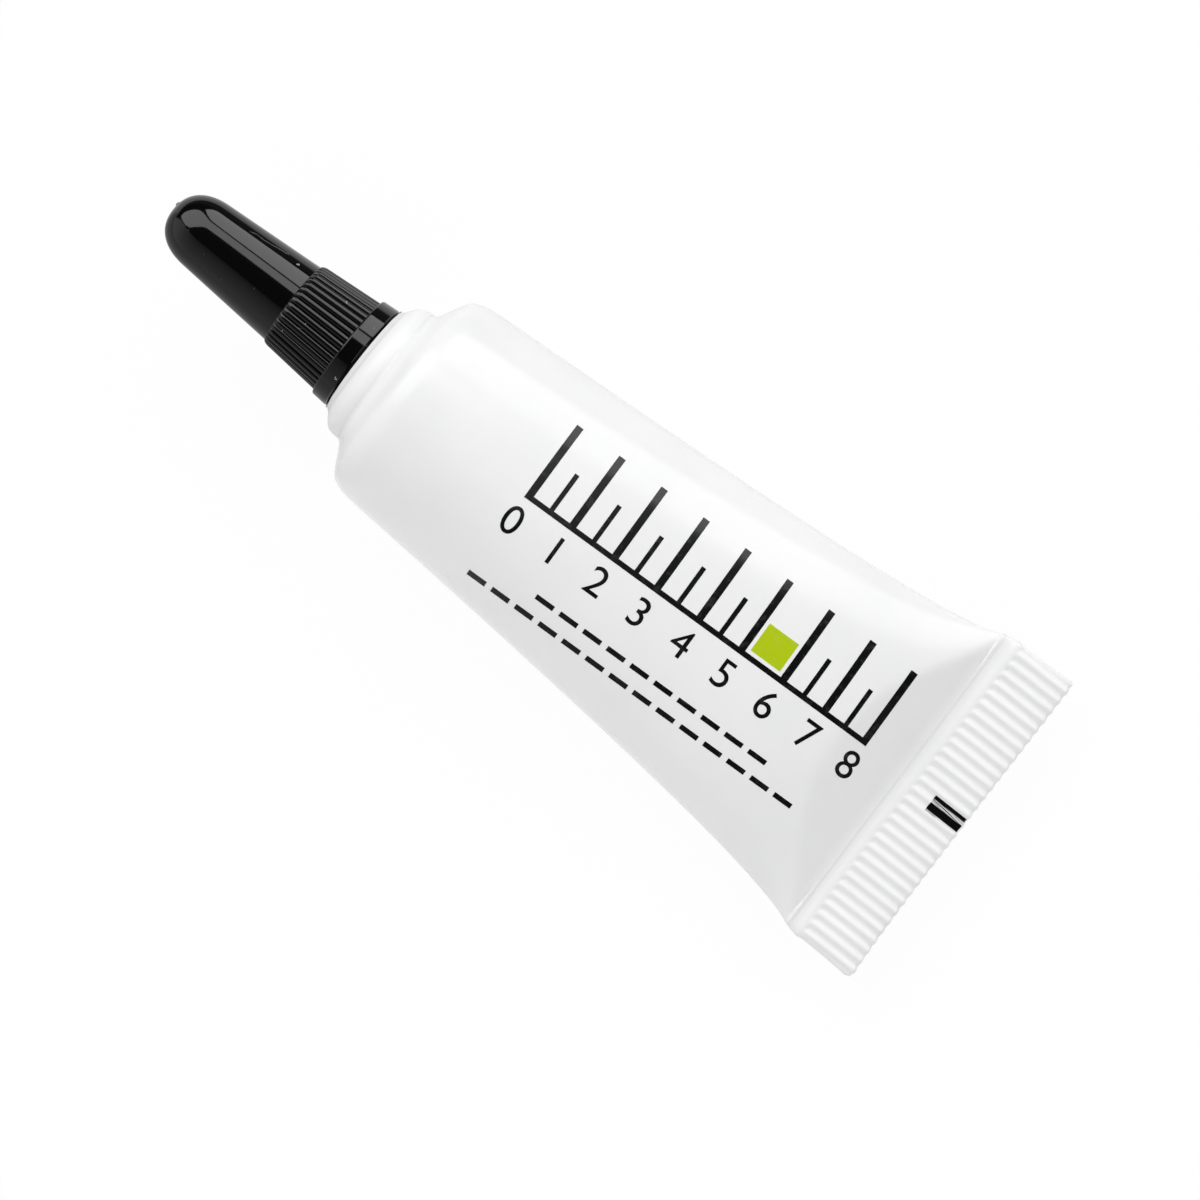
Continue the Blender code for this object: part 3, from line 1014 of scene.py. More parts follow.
    def pressed(self, spot: Vector, inset: float) -> Vector:
        """Presses a point of the round tube.

        Args:
            spot: The point's place on the round tube.
            inset: How far inside the skin it lies.

        Returns:
            Its new place.
        """
        x = spot.x
        round_radius = math.hypot(spot.y, spot.z)
        if x <= self.shoulder_x or round_radius < MERGE:
            return spot.copy()
        share = round_radius / (self.radius - inset)
        angle = math.atan2(spot.z, spot.y)
        across = self.across(x, abs(angle))
        width = (self.width(x) - inset) * share * across
        if inset:
            half = self.depth(x, inset) * math.sqrt(max(0.0, 1 - across * across))
        else:
            half = self.skin_half(x, across)
        past_end = inset > 0 and x > self.end(inset) + MERGE
        height = 0.0 if past_end else self.on_table(x, math.copysign(half * share, angle), inset)
        return Vector((self.slanted(x, width), width, height))


@dataclass
class Sleeve:
    """The white sleeve: shoulder, pressed belly and ridged crimp."""

    tube: TubeFrame
    form: Belly = field(default_factory=Belly)
    wall: float = 0.5 * MM
    mouth_x: float = 2.79 * MM
    mouth_radius: float = 5.52 * MM
    mouth_chamfer: float = 0.01 * MM
    shoulder_angle: float = math.radians(63.0)
    shoulder_round: float = 2.0 * MM
    shoulder_mm: tuple[Point, ...] = (
        (2.15, 6.26),
        (2.42, 6.32),
        (2.69, 6.65),
        (3.17, 7.54),
        (3.65, 8.43),
        (3.89, 8.77),
        (4.13, 9.0),
        (5.09, 9.38),
        (6.2, 9.5),
    )
    shoulder_rings: int = 26
    inner_rings: int = 6
    inner_spread: float = 3.0
    first_gap: float = 0.08 * MM
    gap_growth: float = 0.05
    most_gap: float = 1.3 * MM
    band_mm: tuple[Point, ...] = (
        (54.5, 0.0),
        (54.57, 0.008),
        (54.68, -0.005),
        (54.75, -0.045),
        (54.82, -0.06),
        (55.2, -0.035),
        (55.5, 0.04),
        (55.9, 0.01),
        (56.05, 0.0),
    )
    band_rings_mm: tuple[float, ...] = (
        *(1.12, 1.04, 0.96, 0.88, 0.8, 0.7, 0.6, 0.5, 0.4),
        *(0.34, 0.3, 0.26, 0.23, 0.2, 0.17, 0.14, 0.11, 0.08, 0.04),
    )
    ridge_runout: float = 0.5 * MM
    ridge_pitch: float = 0.9664 * MM
    ridge_drift: float = 0.0003
    ridge_crest_y: float = 0.321 * MM
    ridge_height: float = 0.3 * MM
    ridge_side: float = 0.6
    ridge_rings: int = 6
    end_round: float = 0.3 * MM
    end_angles: tuple[float, ...] = (90.0, 65.0, 40.0, 20.0, 0.0)
    end_power: int = 6
    scallop: float = 0.07 * MM
    corner_rounds: Point = (0.3 * MM, 0.6 * MM)
    sides: int = 480
    sharp_angle: float = math.radians(50.0)

    def belly_places(self, inset: float, start_x: float, spread: float) -> list[float]:
        """Places the belly's rings, closer near the crimp.

        Args:
            inset: How far inside the skin they lie.
            start_x: Where the last ring lies, at the shoulder.
            spread: How much wider apart than on the skin they are.

        Returns:
            Their places, from the crimp to the shoulder.
        """
        places = [self.form.end(inset)]
        while places[-1] > start_x:
            gap = spread * (self.first_gap + self.gap_growth * (places[0] - places[-1]))
            places.append(places[-1] - min(self.most_gap, gap))
        places[-1] = start_x
        return places

    def crimp_places(self) -> list[float]:
        """Places the crimp's rings.

        Returns:
            Their places, from the crimp's end to the belly.
        """
        ridge_x, rings = self.form.ridge_x, self.ridge_rings
        ridge_full = ridge_x + self.ridge_runout
        edge = self.form.end_x - self.end_round
        places = [edge + self.end_round * math.sin(math.radians(angle)) for angle in self.end_angles]
        places += [edge - (edge - ridge_full) * part / rings for part in range(1, rings)]
        places += [ridge_x + self.ridge_runout * part / rings for part in range(rings, -1, -1)]
        return places + [self.form.crimp_x + ring * MM for ring in self.band_rings_mm]

    def shoulder(self, inset: float, steps: int) -> list[Point]:
        """Draws the rounded shoulder this far inside the skin.

        Args:
            inset: How far inside the skin it lies.
            steps: How many chords it has.

        Returns:
            Its section, from the sleeve to the cone.
        """
        centre = (self.form.shoulder_x, self.form.radius - self.shoulder_round)
        radius = self.shoulder_round - inset
        return arc(centre, (radius, radius), math.pi / 2, math.pi / 2 + self.shoulder_angle, steps)

    def cone_foot(self, shoulder: list[Point], radius: float) -> Point:
        """Where the cone that goes on from a shoulder reaches a radius."""
        x, start = shoulder[-1]
        return x - (start - radius) / math.tan(self.shoulder_angle), radius

    def profile(self) -> list[Point]:
        """Draws the section of the sleeve while it is still round.

        Returns:
            The section, from the crimp's end along the skin, round the mouth and back inside.
        """
        outside = self.form.radius
        inside = outside - self.wall
        low, high = self.shoulder_mm[0][0], self.shoulder_mm[-1][0]
        skin_places = self.crimp_places() + self.belly_places(0.0, high * MM, 1.0)
        points = [(x, outside) for x in skin_places]
        for ring in range(1, self.shoulder_rings + 1):
            x = high + (low - high) * ring / self.shoulder_rings
            points.append((x * MM, through(self.shoulder_mm, x) * MM))
        points.append((self.mouth_x, points[-1][1] - self.mouth_chamfer))
        points += [(self.mouth_x, self.mouth_radius), (self.mouth_x + self.wall, self.mouth_radius)]
        points += reversed(self.shoulder(self.wall, self.inner_rings)[1:])
        inner_places = self.belly_places(self.wall, self.form.shoulder_x, self.inner_spread)
        points += [(x, inside) for x in reversed(inner_places)]
        return points + [(inner_places[0] + self.form.hollow_tail, inside)]

    def ridge_wave(self, x: float, y: float) -> float:
        """The wave of the crimp's ridges.

        Args:
            x: A place along the tube.
            y: The place across it.

        Returns:
            The ridges' height there, from -1 to 1.
        """
        count = (self.ridge_crest_y - y) / self.ridge_pitch
        rise = blended(0.0, 1.0, (x - self.form.ridge_x) / self.ridge_runout)
        edge = blended(0.0, 1.0, (self.form.width(x) - abs(y)) / (self.ridge_side * self.ridge_pitch))
        return rise * edge * math.cos(math.tau * (count + self.ridge_drift * count * count))

    def strip_half(self, x: float, across: float) -> float:
        """The thickness of the crimp, rounded at its side and end edges.

        Args:
            x: A place along the tube.
            across: The place across it, from 1 at +Y to -1.

        Returns:
            Half the thickness there.
        """
        half = self.form.crimp_half + self.form.fillet_rise(x) + through(self.band_mm, x / MM) * MM
        past = max(0.0, x - (self.form.end_x - self.end_round)) / self.end_round
        return half * self.form.side_round(across) * math.sqrt(max(0.0, 1 - past * past))

    def crimped(self, spot: Vector) -> Vector:
        """Presses a point of the round tube's skin into the crimp.

        Args:
            spot: The point's place on the round tube.

        Returns:
            Its place on the ridged strip.
        """
        angle = math.atan2(spot.z, spot.y)
        across = self.form.across(spot.x, abs(angle))
        width = self.form.width(spot.x)
        y = width * across
        wave = self.ridge_wave(spot.x, y)
        height = math.copysign(self.strip_half(spot.x, across), angle) + wave * self.ridge_height / 2
        length = (spot.x - self.form.crimp_x) / self.form.crimp_length
        corner = self.corner_rounds[0] if y > 0 else self.corner_rounds[1]
        near = max(0.0, corner - (width - abs(y)))
        cut = corner - math.sqrt(max(0.0, corner * corner - near * near))
        pull = cut + self.scallop * (1 - wave) / 2
        return Vector((self.form.slanted(spot.x, y) - pull * length**self.end_power, y, height))

    def build(self) -> bpy.types.Object:
        """Models the sleeve in the tube's frame.

        Returns:
            The sleeve.
        """
        piece = Bench.turn("sleeve_skin", self.profile(), self.sides)
        middle = self.form.radius - self.wall / 2
        for vertex in piece.data.vertices:
            spot = vertex.co.copy()
            if spot.x <= self.form.shoulder_x + MERGE:
                continue
            outer = math.hypot(spot.y, spot.z) > middle
            if outer and spot.x > self.form.crimp_x + MERGE:
                vertex.co = self.crimped(spot)
            else:
                vertex.co = self.form.pressed(spot, 0.0 if outer else self.wall)
        Bench.close(piece)
        Bench.smooth(piece, self.sharp_angle)
        return piece

    def dress(self, piece: bpy.types.Object) -> None:
        """Gives the sleeve its finish, lays it down and puts it on the tube.

        Args:
            piece: The sleeve.
        """
        SleeveFinish(self.tube).put_on(piece)
        self.tube.lay(piece)
        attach(piece, "tube")
        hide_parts("tube_sleeve")


@dataclass
class Thread:
    """One rounded right-hand thread ridge."""

    ridge: float = 0.45 * MM
    pitch: float = 2.0 * MM
    tip_share: float = 0.3
    pick_share: float = 1.02
    sides: int = 14
    steps_per_turn: int = 48

    def build(self, name: str, radius: float, start_x: float, turns: float) -> bpy.types.Object:
        """Models the ridge as a circle that is screwed round the axis.

        Args:
            name: The ridge's name.
            radius: Distance of its centre line from the axis.
            start_x: Where it starts.
            turns: How many turns it makes towards the cap's tip.

        Returns:
            The closed ridge.
        """
        Bench.put_down()
        bpy.ops.mesh.primitive_circle_add(vertices=self.sides, radius=self.ridge)
        ridge = bpy.context.object
        ridge.name = name
        Bench.edit(ridge)
        bpy.ops.transform.translate(value=(start_x, radius, 0.0))
        Bench.apply(
            ridge,
            "SCREW",
            axis="X",
            angle=-math.tau * turns,
            screw_offset=-self.pitch * turns,
            steps=round(self.steps_per_turn * turns),
            render_steps=round(self.steps_per_turn * turns),
            use_merge_vertices=False,
        )
        for end_turns in (0.0, turns):
            turn = math.tau * end_turns
            x = start_x - self.pitch * end_turns
            centre = Vector((x, radius * math.cos(turn), -radius * math.sin(turn)))
            Bench.pick(ridge, lambda spot: self.at_end(spot, centre))
            bpy.ops.transform.resize(value=(self.tip_share,) * 3, center_override=centre)
            bpy.ops.mesh.edge_face_add()
        Bench.close(ridge)
        return ridge

    def at_end(self, spot: Vector, centre: Vector) -> bool:
        """Whether a point lies on the ridge's end.

        Args:
            spot: The point's place.
            centre: The middle of that end.

        Returns:
            Whether it is near, and in the half plane from the axis through the middle.
        """
        side = Vector((0.0, -centre.z, centre.y)).normalized()
        near = (spot - centre).length < self.ridge * self.pick_share
        return near and abs((spot - centre).dot(side)) < NEAR


@dataclass
class Head:
    """The white moulded head: collar, threaded neck and nozzle, with its bore."""

    tube: TubeFrame
    thread: Thread = field(default_factory=Thread)
    collar_radius: float = 6.24 * MM
    collar_height: float = 2.78 * MM
    collar_chamfer: Point = (0.1 * MM, 0.05 * MM)
    collar_mm: tuple[Point, ...] = (
        (0.0, 4.83),
        (0.28, 5.03),
        (0.52, 5.35),
        (0.76, 5.69),
        (1.0, 5.95),
        (1.24, 6.11),
        (1.75, 6.24),
    )
    collar_rings: int = 18
    throat_radius: float = 5.22 * MM
    lip_gap: float = 0.31 * MM
    wall: float = 1.0 * MM
    skin: float = 0.8 * MM
    neck_radius: float = 2.5 * MM
    neck_bore: float = 1.5 * MM
    neck_length: float = 6.0 * MM
    neck_fillet: float = 0.3 * MM
    nozzle_length: float = 9.3 * MM
    nozzle_tip: float = 1.15 * MM
    nozzle_bore: float = 0.75 * MM
    bore_chamfer: float = 0.05 * MM
    edge: float = 0.15 * MM
    edge_steps: int = 4
    shoulder_steps: tuple[int, int] = (6, 4)
    thread_margin: float = 1.2 * MM
    skirt: float = 0.8 * MM
    sides: int = 128
    sharp_angle: float = math.radians(40.0)

    def nozzle_radius(self, x: float) -> float:
        """Radius of the nozzle's outside at x."""
        return self.nozzle_tip + (x + self.neck_length + self.nozzle_length) * math.tan(DRAFT)

    def collar(self) -> list[Point]:
        """Draws the collar.

        Returns:
            Its section, from the sleeve's mouth to the neck.
        """
        back, inward = self.collar_chamfer
        points = [(self.collar_height, self.throat_radius), (self.collar_height, self.collar_radius - inward)]
        points.append((self.collar_height - back, self.collar_radius))
        end = self.collar_mm[-1][0]
        for ring in range(self.collar_rings, -1, -1):
            x = end * ring / self.collar_rings
            points.append((x * MM, through(self.collar_mm, x) * MM))
        fillet = self.neck_fillet
        centre = (-fillet, self.neck_radius + fillet)
        return points + arc(centre, (fillet, fillet), 0.0, -math.pi / 2, self.edge_steps)

    def nozzle(self) -> list[Point]:
        """Draws the neck and the nozzle.

        Returns:
            Their section, from the neck's end round the tip and back through the bore.
        """
        neck_end = -self.neck_length
        tip_x = neck_end - self.nozzle_length
        root = self.nozzle_radius(neck_end)
        points = edge_to_cap(neck_end, self.neck_radius, self.edge, self.edge_steps)
        points += [(neck_end, root + self.edge), (neck_end - self.edge, root)]
        points += edge_to_cap(tip_x, self.nozzle_tip, self.edge, self.edge_steps)
        points.append((tip_x, self.nozzle_bore + self.bore_chamfer))
        points.append((tip_x + self.bore_chamfer, self.nozzle_bore))
        return points + [(neck_end, self.nozzle_bore), (neck_end + self.neck_bore, self.neck_bore)]

    def profile(self) -> list[Point]:
        """Draws the whole head.

        Returns:
            Its section, from the skirt along the outside and back through the bore.
        """
        sleeve = Sleeve(self.tube)
        outer = sleeve.shoulder(self.skin, self.shoulder_steps[0])
        inner = sleeve.shoulder(self.skin + self.wall, self.shoulder_steps[1])
        skirt_x = sleeve.form.shoulder_x + self.skirt
        lip_x = sleeve.mouth_x + sleeve.wall + self.lip_gap
        points = [(skirt_x, inner[0][1]), (skirt_x, outer[0][1])]
        points += [point for point in outer if point[0] > lip_x]
        points += [(lip_x, outer[-1][1]), (lip_x, self.throat_radius)]
        points += self.collar() + self.nozzle()
        points.append(sleeve.cone_foot(inner, self.neck_bore))
        return points + inner[::-1]

    def build(self) -> bpy.types.Object:
        """Models the head in the tube's frame.

        Returns:
            The head.
        """
        points = self.profile()
        piece = Bench.turn("head_moulding", points + points[:1], self.sides)
        turns = (self.neck_length - 2 * self.thread_margin) / self.thread.pitch
        Bench.unite(piece, self.thread.build("neck_ridge", self.neck_radius, -self.thread_margin, turns))
        Bench.smooth(piece, self.sharp_angle)
        return piece

    def dress(self, piece: bpy.types.Object) -> None:
        """Gives the head its finish, lays it down and puts it on the tube.

        Args:
            piece: The head.
        """
        HeadFinish(self.tube).put_on(piece)
        self.tube.lay(piece)
        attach(piece, "tube")
        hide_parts("tube_head")


@dataclass
class Cap:
    """The black screw cap: domed nose, ribbed grip, rim band, bore and thread."""

    tube: TubeFrame
    thread: Thread = field(default_factory=Thread)
    tip_x: float = -19.476 * MM
    dome_height: float = 3.4 * MM
    dome_radius: float = 3.042 * MM
    dome_power: float = 2.4
    dome_rings: int = 26
    nose_rings: int = 6
    nose_margin: float = 0.04 * MM
    gate_radius: float = 0.36 * MM
    gate_height: float = 0.16 * MM
    gate_offset: float = 0.56 * MM
    gate_depth: float = 0.4 * MM
    gate_lobes: int = 3
    gate_uneven: float = 0.25
    grip_start_x: float = -7.28 * MM
    grip_rise: float = 0.55 * MM
    grip_steps: tuple[float, ...] = (0.06, 0.16, 0.32, 0.55, 0.8, 1.0)
    grip_rings: int = 4
    grip_margin: float = 0.02 * MM
    grip_radius: float = 3.95 * MM
    grip_slope: float = 0.08
    ribs: int = 40
    rib_height: float = 0.25 * MM
    facets_per_rib: int = 8
    band_x: float = -1.68 * MM
    band_radius: float = 4.655 * MM
    band_round: float = 0.13 * MM
    band_round_steps: int = 5
    band_bulge: float = 0.004 * MM
    band_margins: Point = (0.1 * MM, 0.03 * MM)
    rim_x: float = -0.03 * MM
    rim_land: Point = (0.4 * MM, 0.14 * MM)
    rim_round: float = 0.3 * MM
    rim_lip: Point = (0.04 * MM, 0.16 * MM)
    rim_rings_mm: tuple[float, ...] = (0.08, 0.13, 0.18, 0.24, 0.3, 0.33, 0.4)
    flash: float = 0.14 * MM
    flash_back: float = 0.02 * MM
    flash_least: float = 0.25
    flash_waves: Point = (2.0, 17.0)
    flash_sizes: Triple = (0.5, 0.3, 0.2)
    bore: float = 3.2 * MM
    bore_end_x: float = -6.6 * MM
    cavity_x: float = -7.4 * MM
    cavity_end_x: float = -18.1 * MM
    cavity_end_radius: float = 1.804 * MM
    chamfer: float = 0.3 * MM
    thread_start_x: float = -2.2 * MM
    thread_turns: float = 1.3
    sharp_angle: float = math.radians(35.0)

    @property
    def rim_radius(self) -> float:
        """Radius of the rim band at the rim."""
        return self.band_radius + (self.rim_x - self.band_x) * self.grip_slope

    def nose_radius(self, x: float) -> float:
        """Radius of the nose's outside at x."""
        return self.dome_radius + (x - self.tip_x - self.dome_height) * math.tan(DRAFT)

    def band_outside(self, x: float) -> float:
        """Radius of the rim band at x, which is a touch fuller in its middle."""
        off = (2 * x - self.band_x - self.rim_x) / (self.rim_x - self.band_x)
        return self.band_radius + (x - self.band_x) * self.grip_slope + self.band_bulge * (1 - off * off)

    def root_radius(self, x: float) -> float:
        """The grip at the bottom of its grooves, which rises out of the nose.

        Args:
            x: A place along the grip.

        Returns:
            Its radius there.
        """
        full_x = self.grip_start_x + self.grip_rise
        root = self.grip_radius - self.rib_height + (x - full_x) * self.grip_slope
        share = blended(0.0, 1.0, (x - self.grip_start_x) / self.grip_rise)
        return self.nose_radius(x) + (root - self.nose_radius(x)) * share

    def grip_places(self) -> list[Point]:
        """Places the grip's rings.

        Returns:
            Their places from the nose to the band, each with the share of the ribs' height there.
        """
        start, rise = self.grip_start_x, self.grip_rise
        rising = [(start + rise * part, math.sqrt(1 - (1 - part) ** 2)) for part in self.grip_steps]
        length = self.band_x - self.grip_margin - (start + rise)
        rings = range(1, self.grip_rings + 1)
        return rising + [(start + rise + length * ring / self.grip_rings, 1.0) for ring in rings]

    def hollow(self) -> list[Point]:
        """Draws the cap's hollow.

        Returns:
            Its section, from its end to the rim.
        """
        cavity_radius = self.cavity_end_radius + (self.cavity_x - self.cavity_end_x) * math.tan(DRAFT)
        points = [(self.cavity_end_x, 0.0), (self.cavity_end_x, self.cavity_end_radius)]
        points += [(self.cavity_x, cavity_radius), (self.bore_end_x, self.bore)]
        return points + [(self.rim_x - self.chamfer, self.bore), (self.rim_x, self.bore + self.chamfer)]

    def band(self) -> list[Point]:
        """Draws the rim band, with flash on the rounded edge of its rim.

        Returns:
            Its section, from the rim to the grip.
        """
        points = [(self.rim_x, self.rim_radius - inward) for inward in self.rim_land]
        points.append((self.rim_x - self.flash_back, self.rim_radius + self.flash))
        lip_x = self.rim_x - self.rim_lip[0]
        points.append((lip_x, self.band_outside(lip_x) - self.rim_lip[1]))
        for ring in self.rim_rings_mm:
            x = self.rim_x - ring * MM
            off = max(0.0, self.rim_round - ring * MM)
            inward = self.rim_round - math.sqrt(self.rim_round**2 - off**2)
            points.append((x, self.band_outside(x) - inward))
        start_x = self.band_x + self.band_round
        places = [(self.band_x + self.rim_x) / 2]
        places += [start_x + margin for margin in (*self.band_margins, 0.0)]
        points += [(x, self.band_outside(x)) for x in places]
        return points + edge_to_cap(self.band_x, self.band_radius, self.band_round, self.band_round_steps)[1:]

    def nose(self) -> list[Point]:
        """Draws the nose and its blunt dome.

        Returns:
            Their section, from the grip to the tip.
        """
        base_x = self.tip_x + self.dome_height
        length = base_x - self.grip_start_x
        places = [self.grip_start_x, self.grip_start_x - self.nose_margin]
        places += [self.grip_start_x + length * ring / self.nose_rings for ring in range(1, self.nose_rings)]
        points = [(x, self.nose_radius(x)) for x in places]
        blunt = 2 / self.dome_power
        for forward, radius in arc((0.0, 0.0), (1.0, 1.0), math.pi / 2, math.pi, self.dome_rings)[:-1]:
            x = base_x - self.dome_height * abs(forward) ** blunt
            points.append((x, self.nose_radius(x) * abs(radius) ** blunt))
        return points + [(self.tip_x, 0.0)]

    def profile(self) -> list[Point]:
        """The cap's section, from the end of its hollow round the rim to its tip."""
        grip = [(x, self.root_radius(x)) for x, _ in reversed(self.grip_places())]
        return self.hollow() + self.band() + grip + self.nose()

    def rib_share(self, facet: int) -> float:
        """Height of a rib at one of its facets, from 0 in the groove to 1 on the crest."""
        place = 2 * facet / self.facets_per_rib - 1
        return math.sqrt(1 - place * place)

    def on_facet(self, spot: Vector, places: list[float], facet: int) -> bool:
        """Whether a point of the grip lies on one facet of a rib.

        Args:
            spot: The point's place.
            places: The rings that count.
            facet: The facet's number in its rib.

        Returns:
            Whether it lies on that facet, on one of these rings and outside the bore.
        """
        if math.hypot(spot.y, spot.z) < self.bore + self.chamfer:
            return False
        turn = math.atan2(spot.z, spot.y) / math.tau * self.ribs * self.facets_per_rib
        on_ring = any(abs(spot.x - x) < NEAR for x in places)
        return on_ring and round(turn) % self.facets_per_rib == facet

    def raise_ribs(self, piece: bpy.types.Object) -> None:
        """Scales the grip's points out from the axis, facet by facet, into rounded ribs.

        Args:
            piece: The turned cap.
        """
        places = self.grip_places()
        groups = [([x], part) for x, part in places if part < 1.0]
        groups.append(([x for x, part in places if part >= 1.0], 1.0))
        for group, part in groups:
            for facet in range(1, self.facets_per_rib):
                Bench.pick(piece, lambda spot: self.on_facet(spot, group, facet))
                out = 1 + self.rib_height * part * self.rib_share(facet) / self.grip_radius
                bpy.ops.transform.resize(value=(1.0, out, out), center_override=(0.0, 0.0, 0.0))
        Bench.put_down()

    def fray_flash(self, piece: bpy.types.Object) -> None:
        """Draws the thin moulding flash on the rim's edge back, further in some places than in others.

        Args:
            piece: The turned cap.
        """
        mean, slow, quick = self.flash_sizes
        for vertex in piece.data.vertices:
            radius = math.hypot(vertex.co.y, vertex.co.z)
            if abs(vertex.co.x - self.rim_x + self.flash_back) < NEAR and radius > self.rim_radius:
                turn = math.atan2(vertex.co.z, vertex.co.y)
                wave = mean + slow * math.cos(self.flash_waves[0] * turn)
                wave += quick * math.sin(self.flash_waves[1] * turn)
                left = self.flash_least + (1 - self.flash_least) * wave**2
                share = (self.rim_radius + self.flash * left) / radius
                vertex.co.y *= share
                vertex.co.z *= share

    def raise_gate(self, piece: bpy.types.Object) -> None:
        """Pulls the stub of the moulding gate out of the dome, a little beside its tip.

        Args:
            piece: The turned cap.
        """
        for vertex in piece.data.vertices:
            away = math.hypot(vertex.co.y - self.gate_offset, vertex.co.z)
            if vertex.co.x < self.tip_x + self.gate_depth and away < self.gate_radius:
                turn = math.atan2(vertex.co.z, vertex.co.y)
                uneven = 1 + self.gate_uneven * math.sin(self.gate_lobes * turn)
                vertex.co.x -= self.gate_height * uneven * blended(1.0, 0.0, away / self.gate_radius)

    def build(self) -> bpy.types.Object:
        """Models the cap in the tube's frame.

        Returns:
            The cap.
        """
        piece = Bench.turn("cap_shell", self.profile(), self.ribs * self.facets_per_rib)
        self.raise_ribs(piece)
        self.fray_flash(piece)
        self.raise_gate(piece)
        Bench.unite(piece, self.thread.build("cap_ridge", self.bore, self.thread_start_x, self.thread_turns))
        Bench.smooth(piece, self.sharp_angle)
        return piece

    def dress(self, piece: bpy.types.Object) -> None:
        """Gives the cap its finish, lays it down and puts it on the turning body.

        Args:
            piece: The cap.
        """
        CapFinish(self.tube).put_on(piece)
        self.tube.lay(piece)
        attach(piece, "cap")
        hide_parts("cap")


@dataclass
class Seal:
    """The plug in the cap's nose, with the pin that closes the nozzle."""

    tube: TubeFrame
    face_x: float = -15.6 * MM
    thickness: float = 2.2 * MM
    pin_length: float = 1.5 * MM
    pin_radius: float = 0.45 * MM
    back_radius: float = 1.525 * MM
    edge: float = 0.12 * MM
    edge_steps: int = 3
    sides: int = 64
    sharp_angle: float = math.radians(40.0)

    def build(self) -> bpy.types.Object:
        """Models the seal in the tube's frame.

        Returns:
            The seal.
        """
        pin_x = self.face_x + self.pin_length
        back_x = self.face_x - self.thickness
        face_radius = self.back_radius + self.thickness * math.tan(DRAFT)
        points = [(pin_x, 0.0)]
        points += edge_to_crimp(pin_x, self.pin_radius, self.edge, self.edge_steps)
        points.append((self.face_x, self.pin_radius))
        points += edge_to_crimp(self.face_x, face_radius, self.edge, self.edge_steps)
        points += edge_to_cap(back_x, self.back_radius, self.edge, self.edge_steps)
        points.append((back_x, 0.0))
        piece = Bench.turn("seal_plug", points, self.sides)
        Bench.smooth(piece, self.sharp_angle)
        return piece

    def dress(self, piece: bpy.types.Object) -> None:
        """Gives the seal its finish, lays it down and puts it on the lifting body.

        Args:
            piece: The seal.
        """
        SealFinish(self.tube).put_on(piece)
        self.tube.lay(piece)
        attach(piece, "seal")
        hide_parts("cap_seal")


@dataclass
class Grease:
    """The grease that fills the sleeve, the neck and the nozzle."""

    tube: TubeFrame
    form: Belly = field(default_factory=Belly)
    inset: float = 0.8 * MM
    spread: float = 2.5
    head_inset: float = 2.1 * MM
    shoulder_steps: int = 5
    skirt_x: float = 6.544 * MM
    skirt_margin: float = 0.2 * MM
    neck_x: float = -4.5 * MM
    neck_radius: float = 1.2 * MM
    stem_x: float = -5.7 * MM
    stem_radius: float = 0.45 * MM
    tip_x: float = -13.8 * MM
    meniscus: float = 0.12 * MM
    meniscus_bend: Point = (0.5, 0.6)
    sides: int = 96
    sharp_angle: float = math.radians(45.0)

    def profile(self) -> list[Point]:
        """Draws the section of the grease while the sleeve is still round.

        Returns:
            The section, from its end at the crimp to its surface in the nozzle.
        """
        sleeve = Sleeve(self.tube)
        radius = self.form.radius - self.inset
        rings = sleeve.belly_places(self.inset, self.skirt_x, self.spread)
        inner = sleeve.shoulder(self.head_inset, self.shoulder_steps)
        points = [(x, radius) for x in (rings[0] + self.form.hollow_tail, *rings)]
        points.append((self.skirt_x, inner[0][1]))
        points += [point for point in inner if point[0] < self.skirt_x - self.skirt_margin]
        points += [sleeve.cone_foot(inner, self.neck_radius), (self.neck_x, self.neck_radius)]
        points += [(self.stem_x, self.stem_radius), (self.tip_x, self.stem_radius)]
        bend, share = self.meniscus_bend
        points.append((self.tip_x + self.meniscus * bend, self.stem_radius * share))
        return points + [(self.tip_x + self.meniscus, 0.0)]

    def build(self) -> bpy.types.Object:
        """Models the grease in the tube's frame.

        Returns:
            The grease.
        """
        piece = Bench.turn("grease_fill", self.profile(), self.sides)
        for vertex in piece.data.vertices:
            vertex.co = self.form.pressed(vertex.co.copy(), self.inset)
        Bench.close(piece)
        Bench.smooth(piece, self.sharp_angle)
        return piece

    def dress(self, piece: bpy.types.Object) -> None:
        """Gives the grease its finish, lays it down and puts it on the tube.

        Args:
            piece: The grease.
        """
        GreaseFinish(self.tube).put_on(piece)
        self.tube.lay(piece)
        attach(piece, "tube")
        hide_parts("grease")


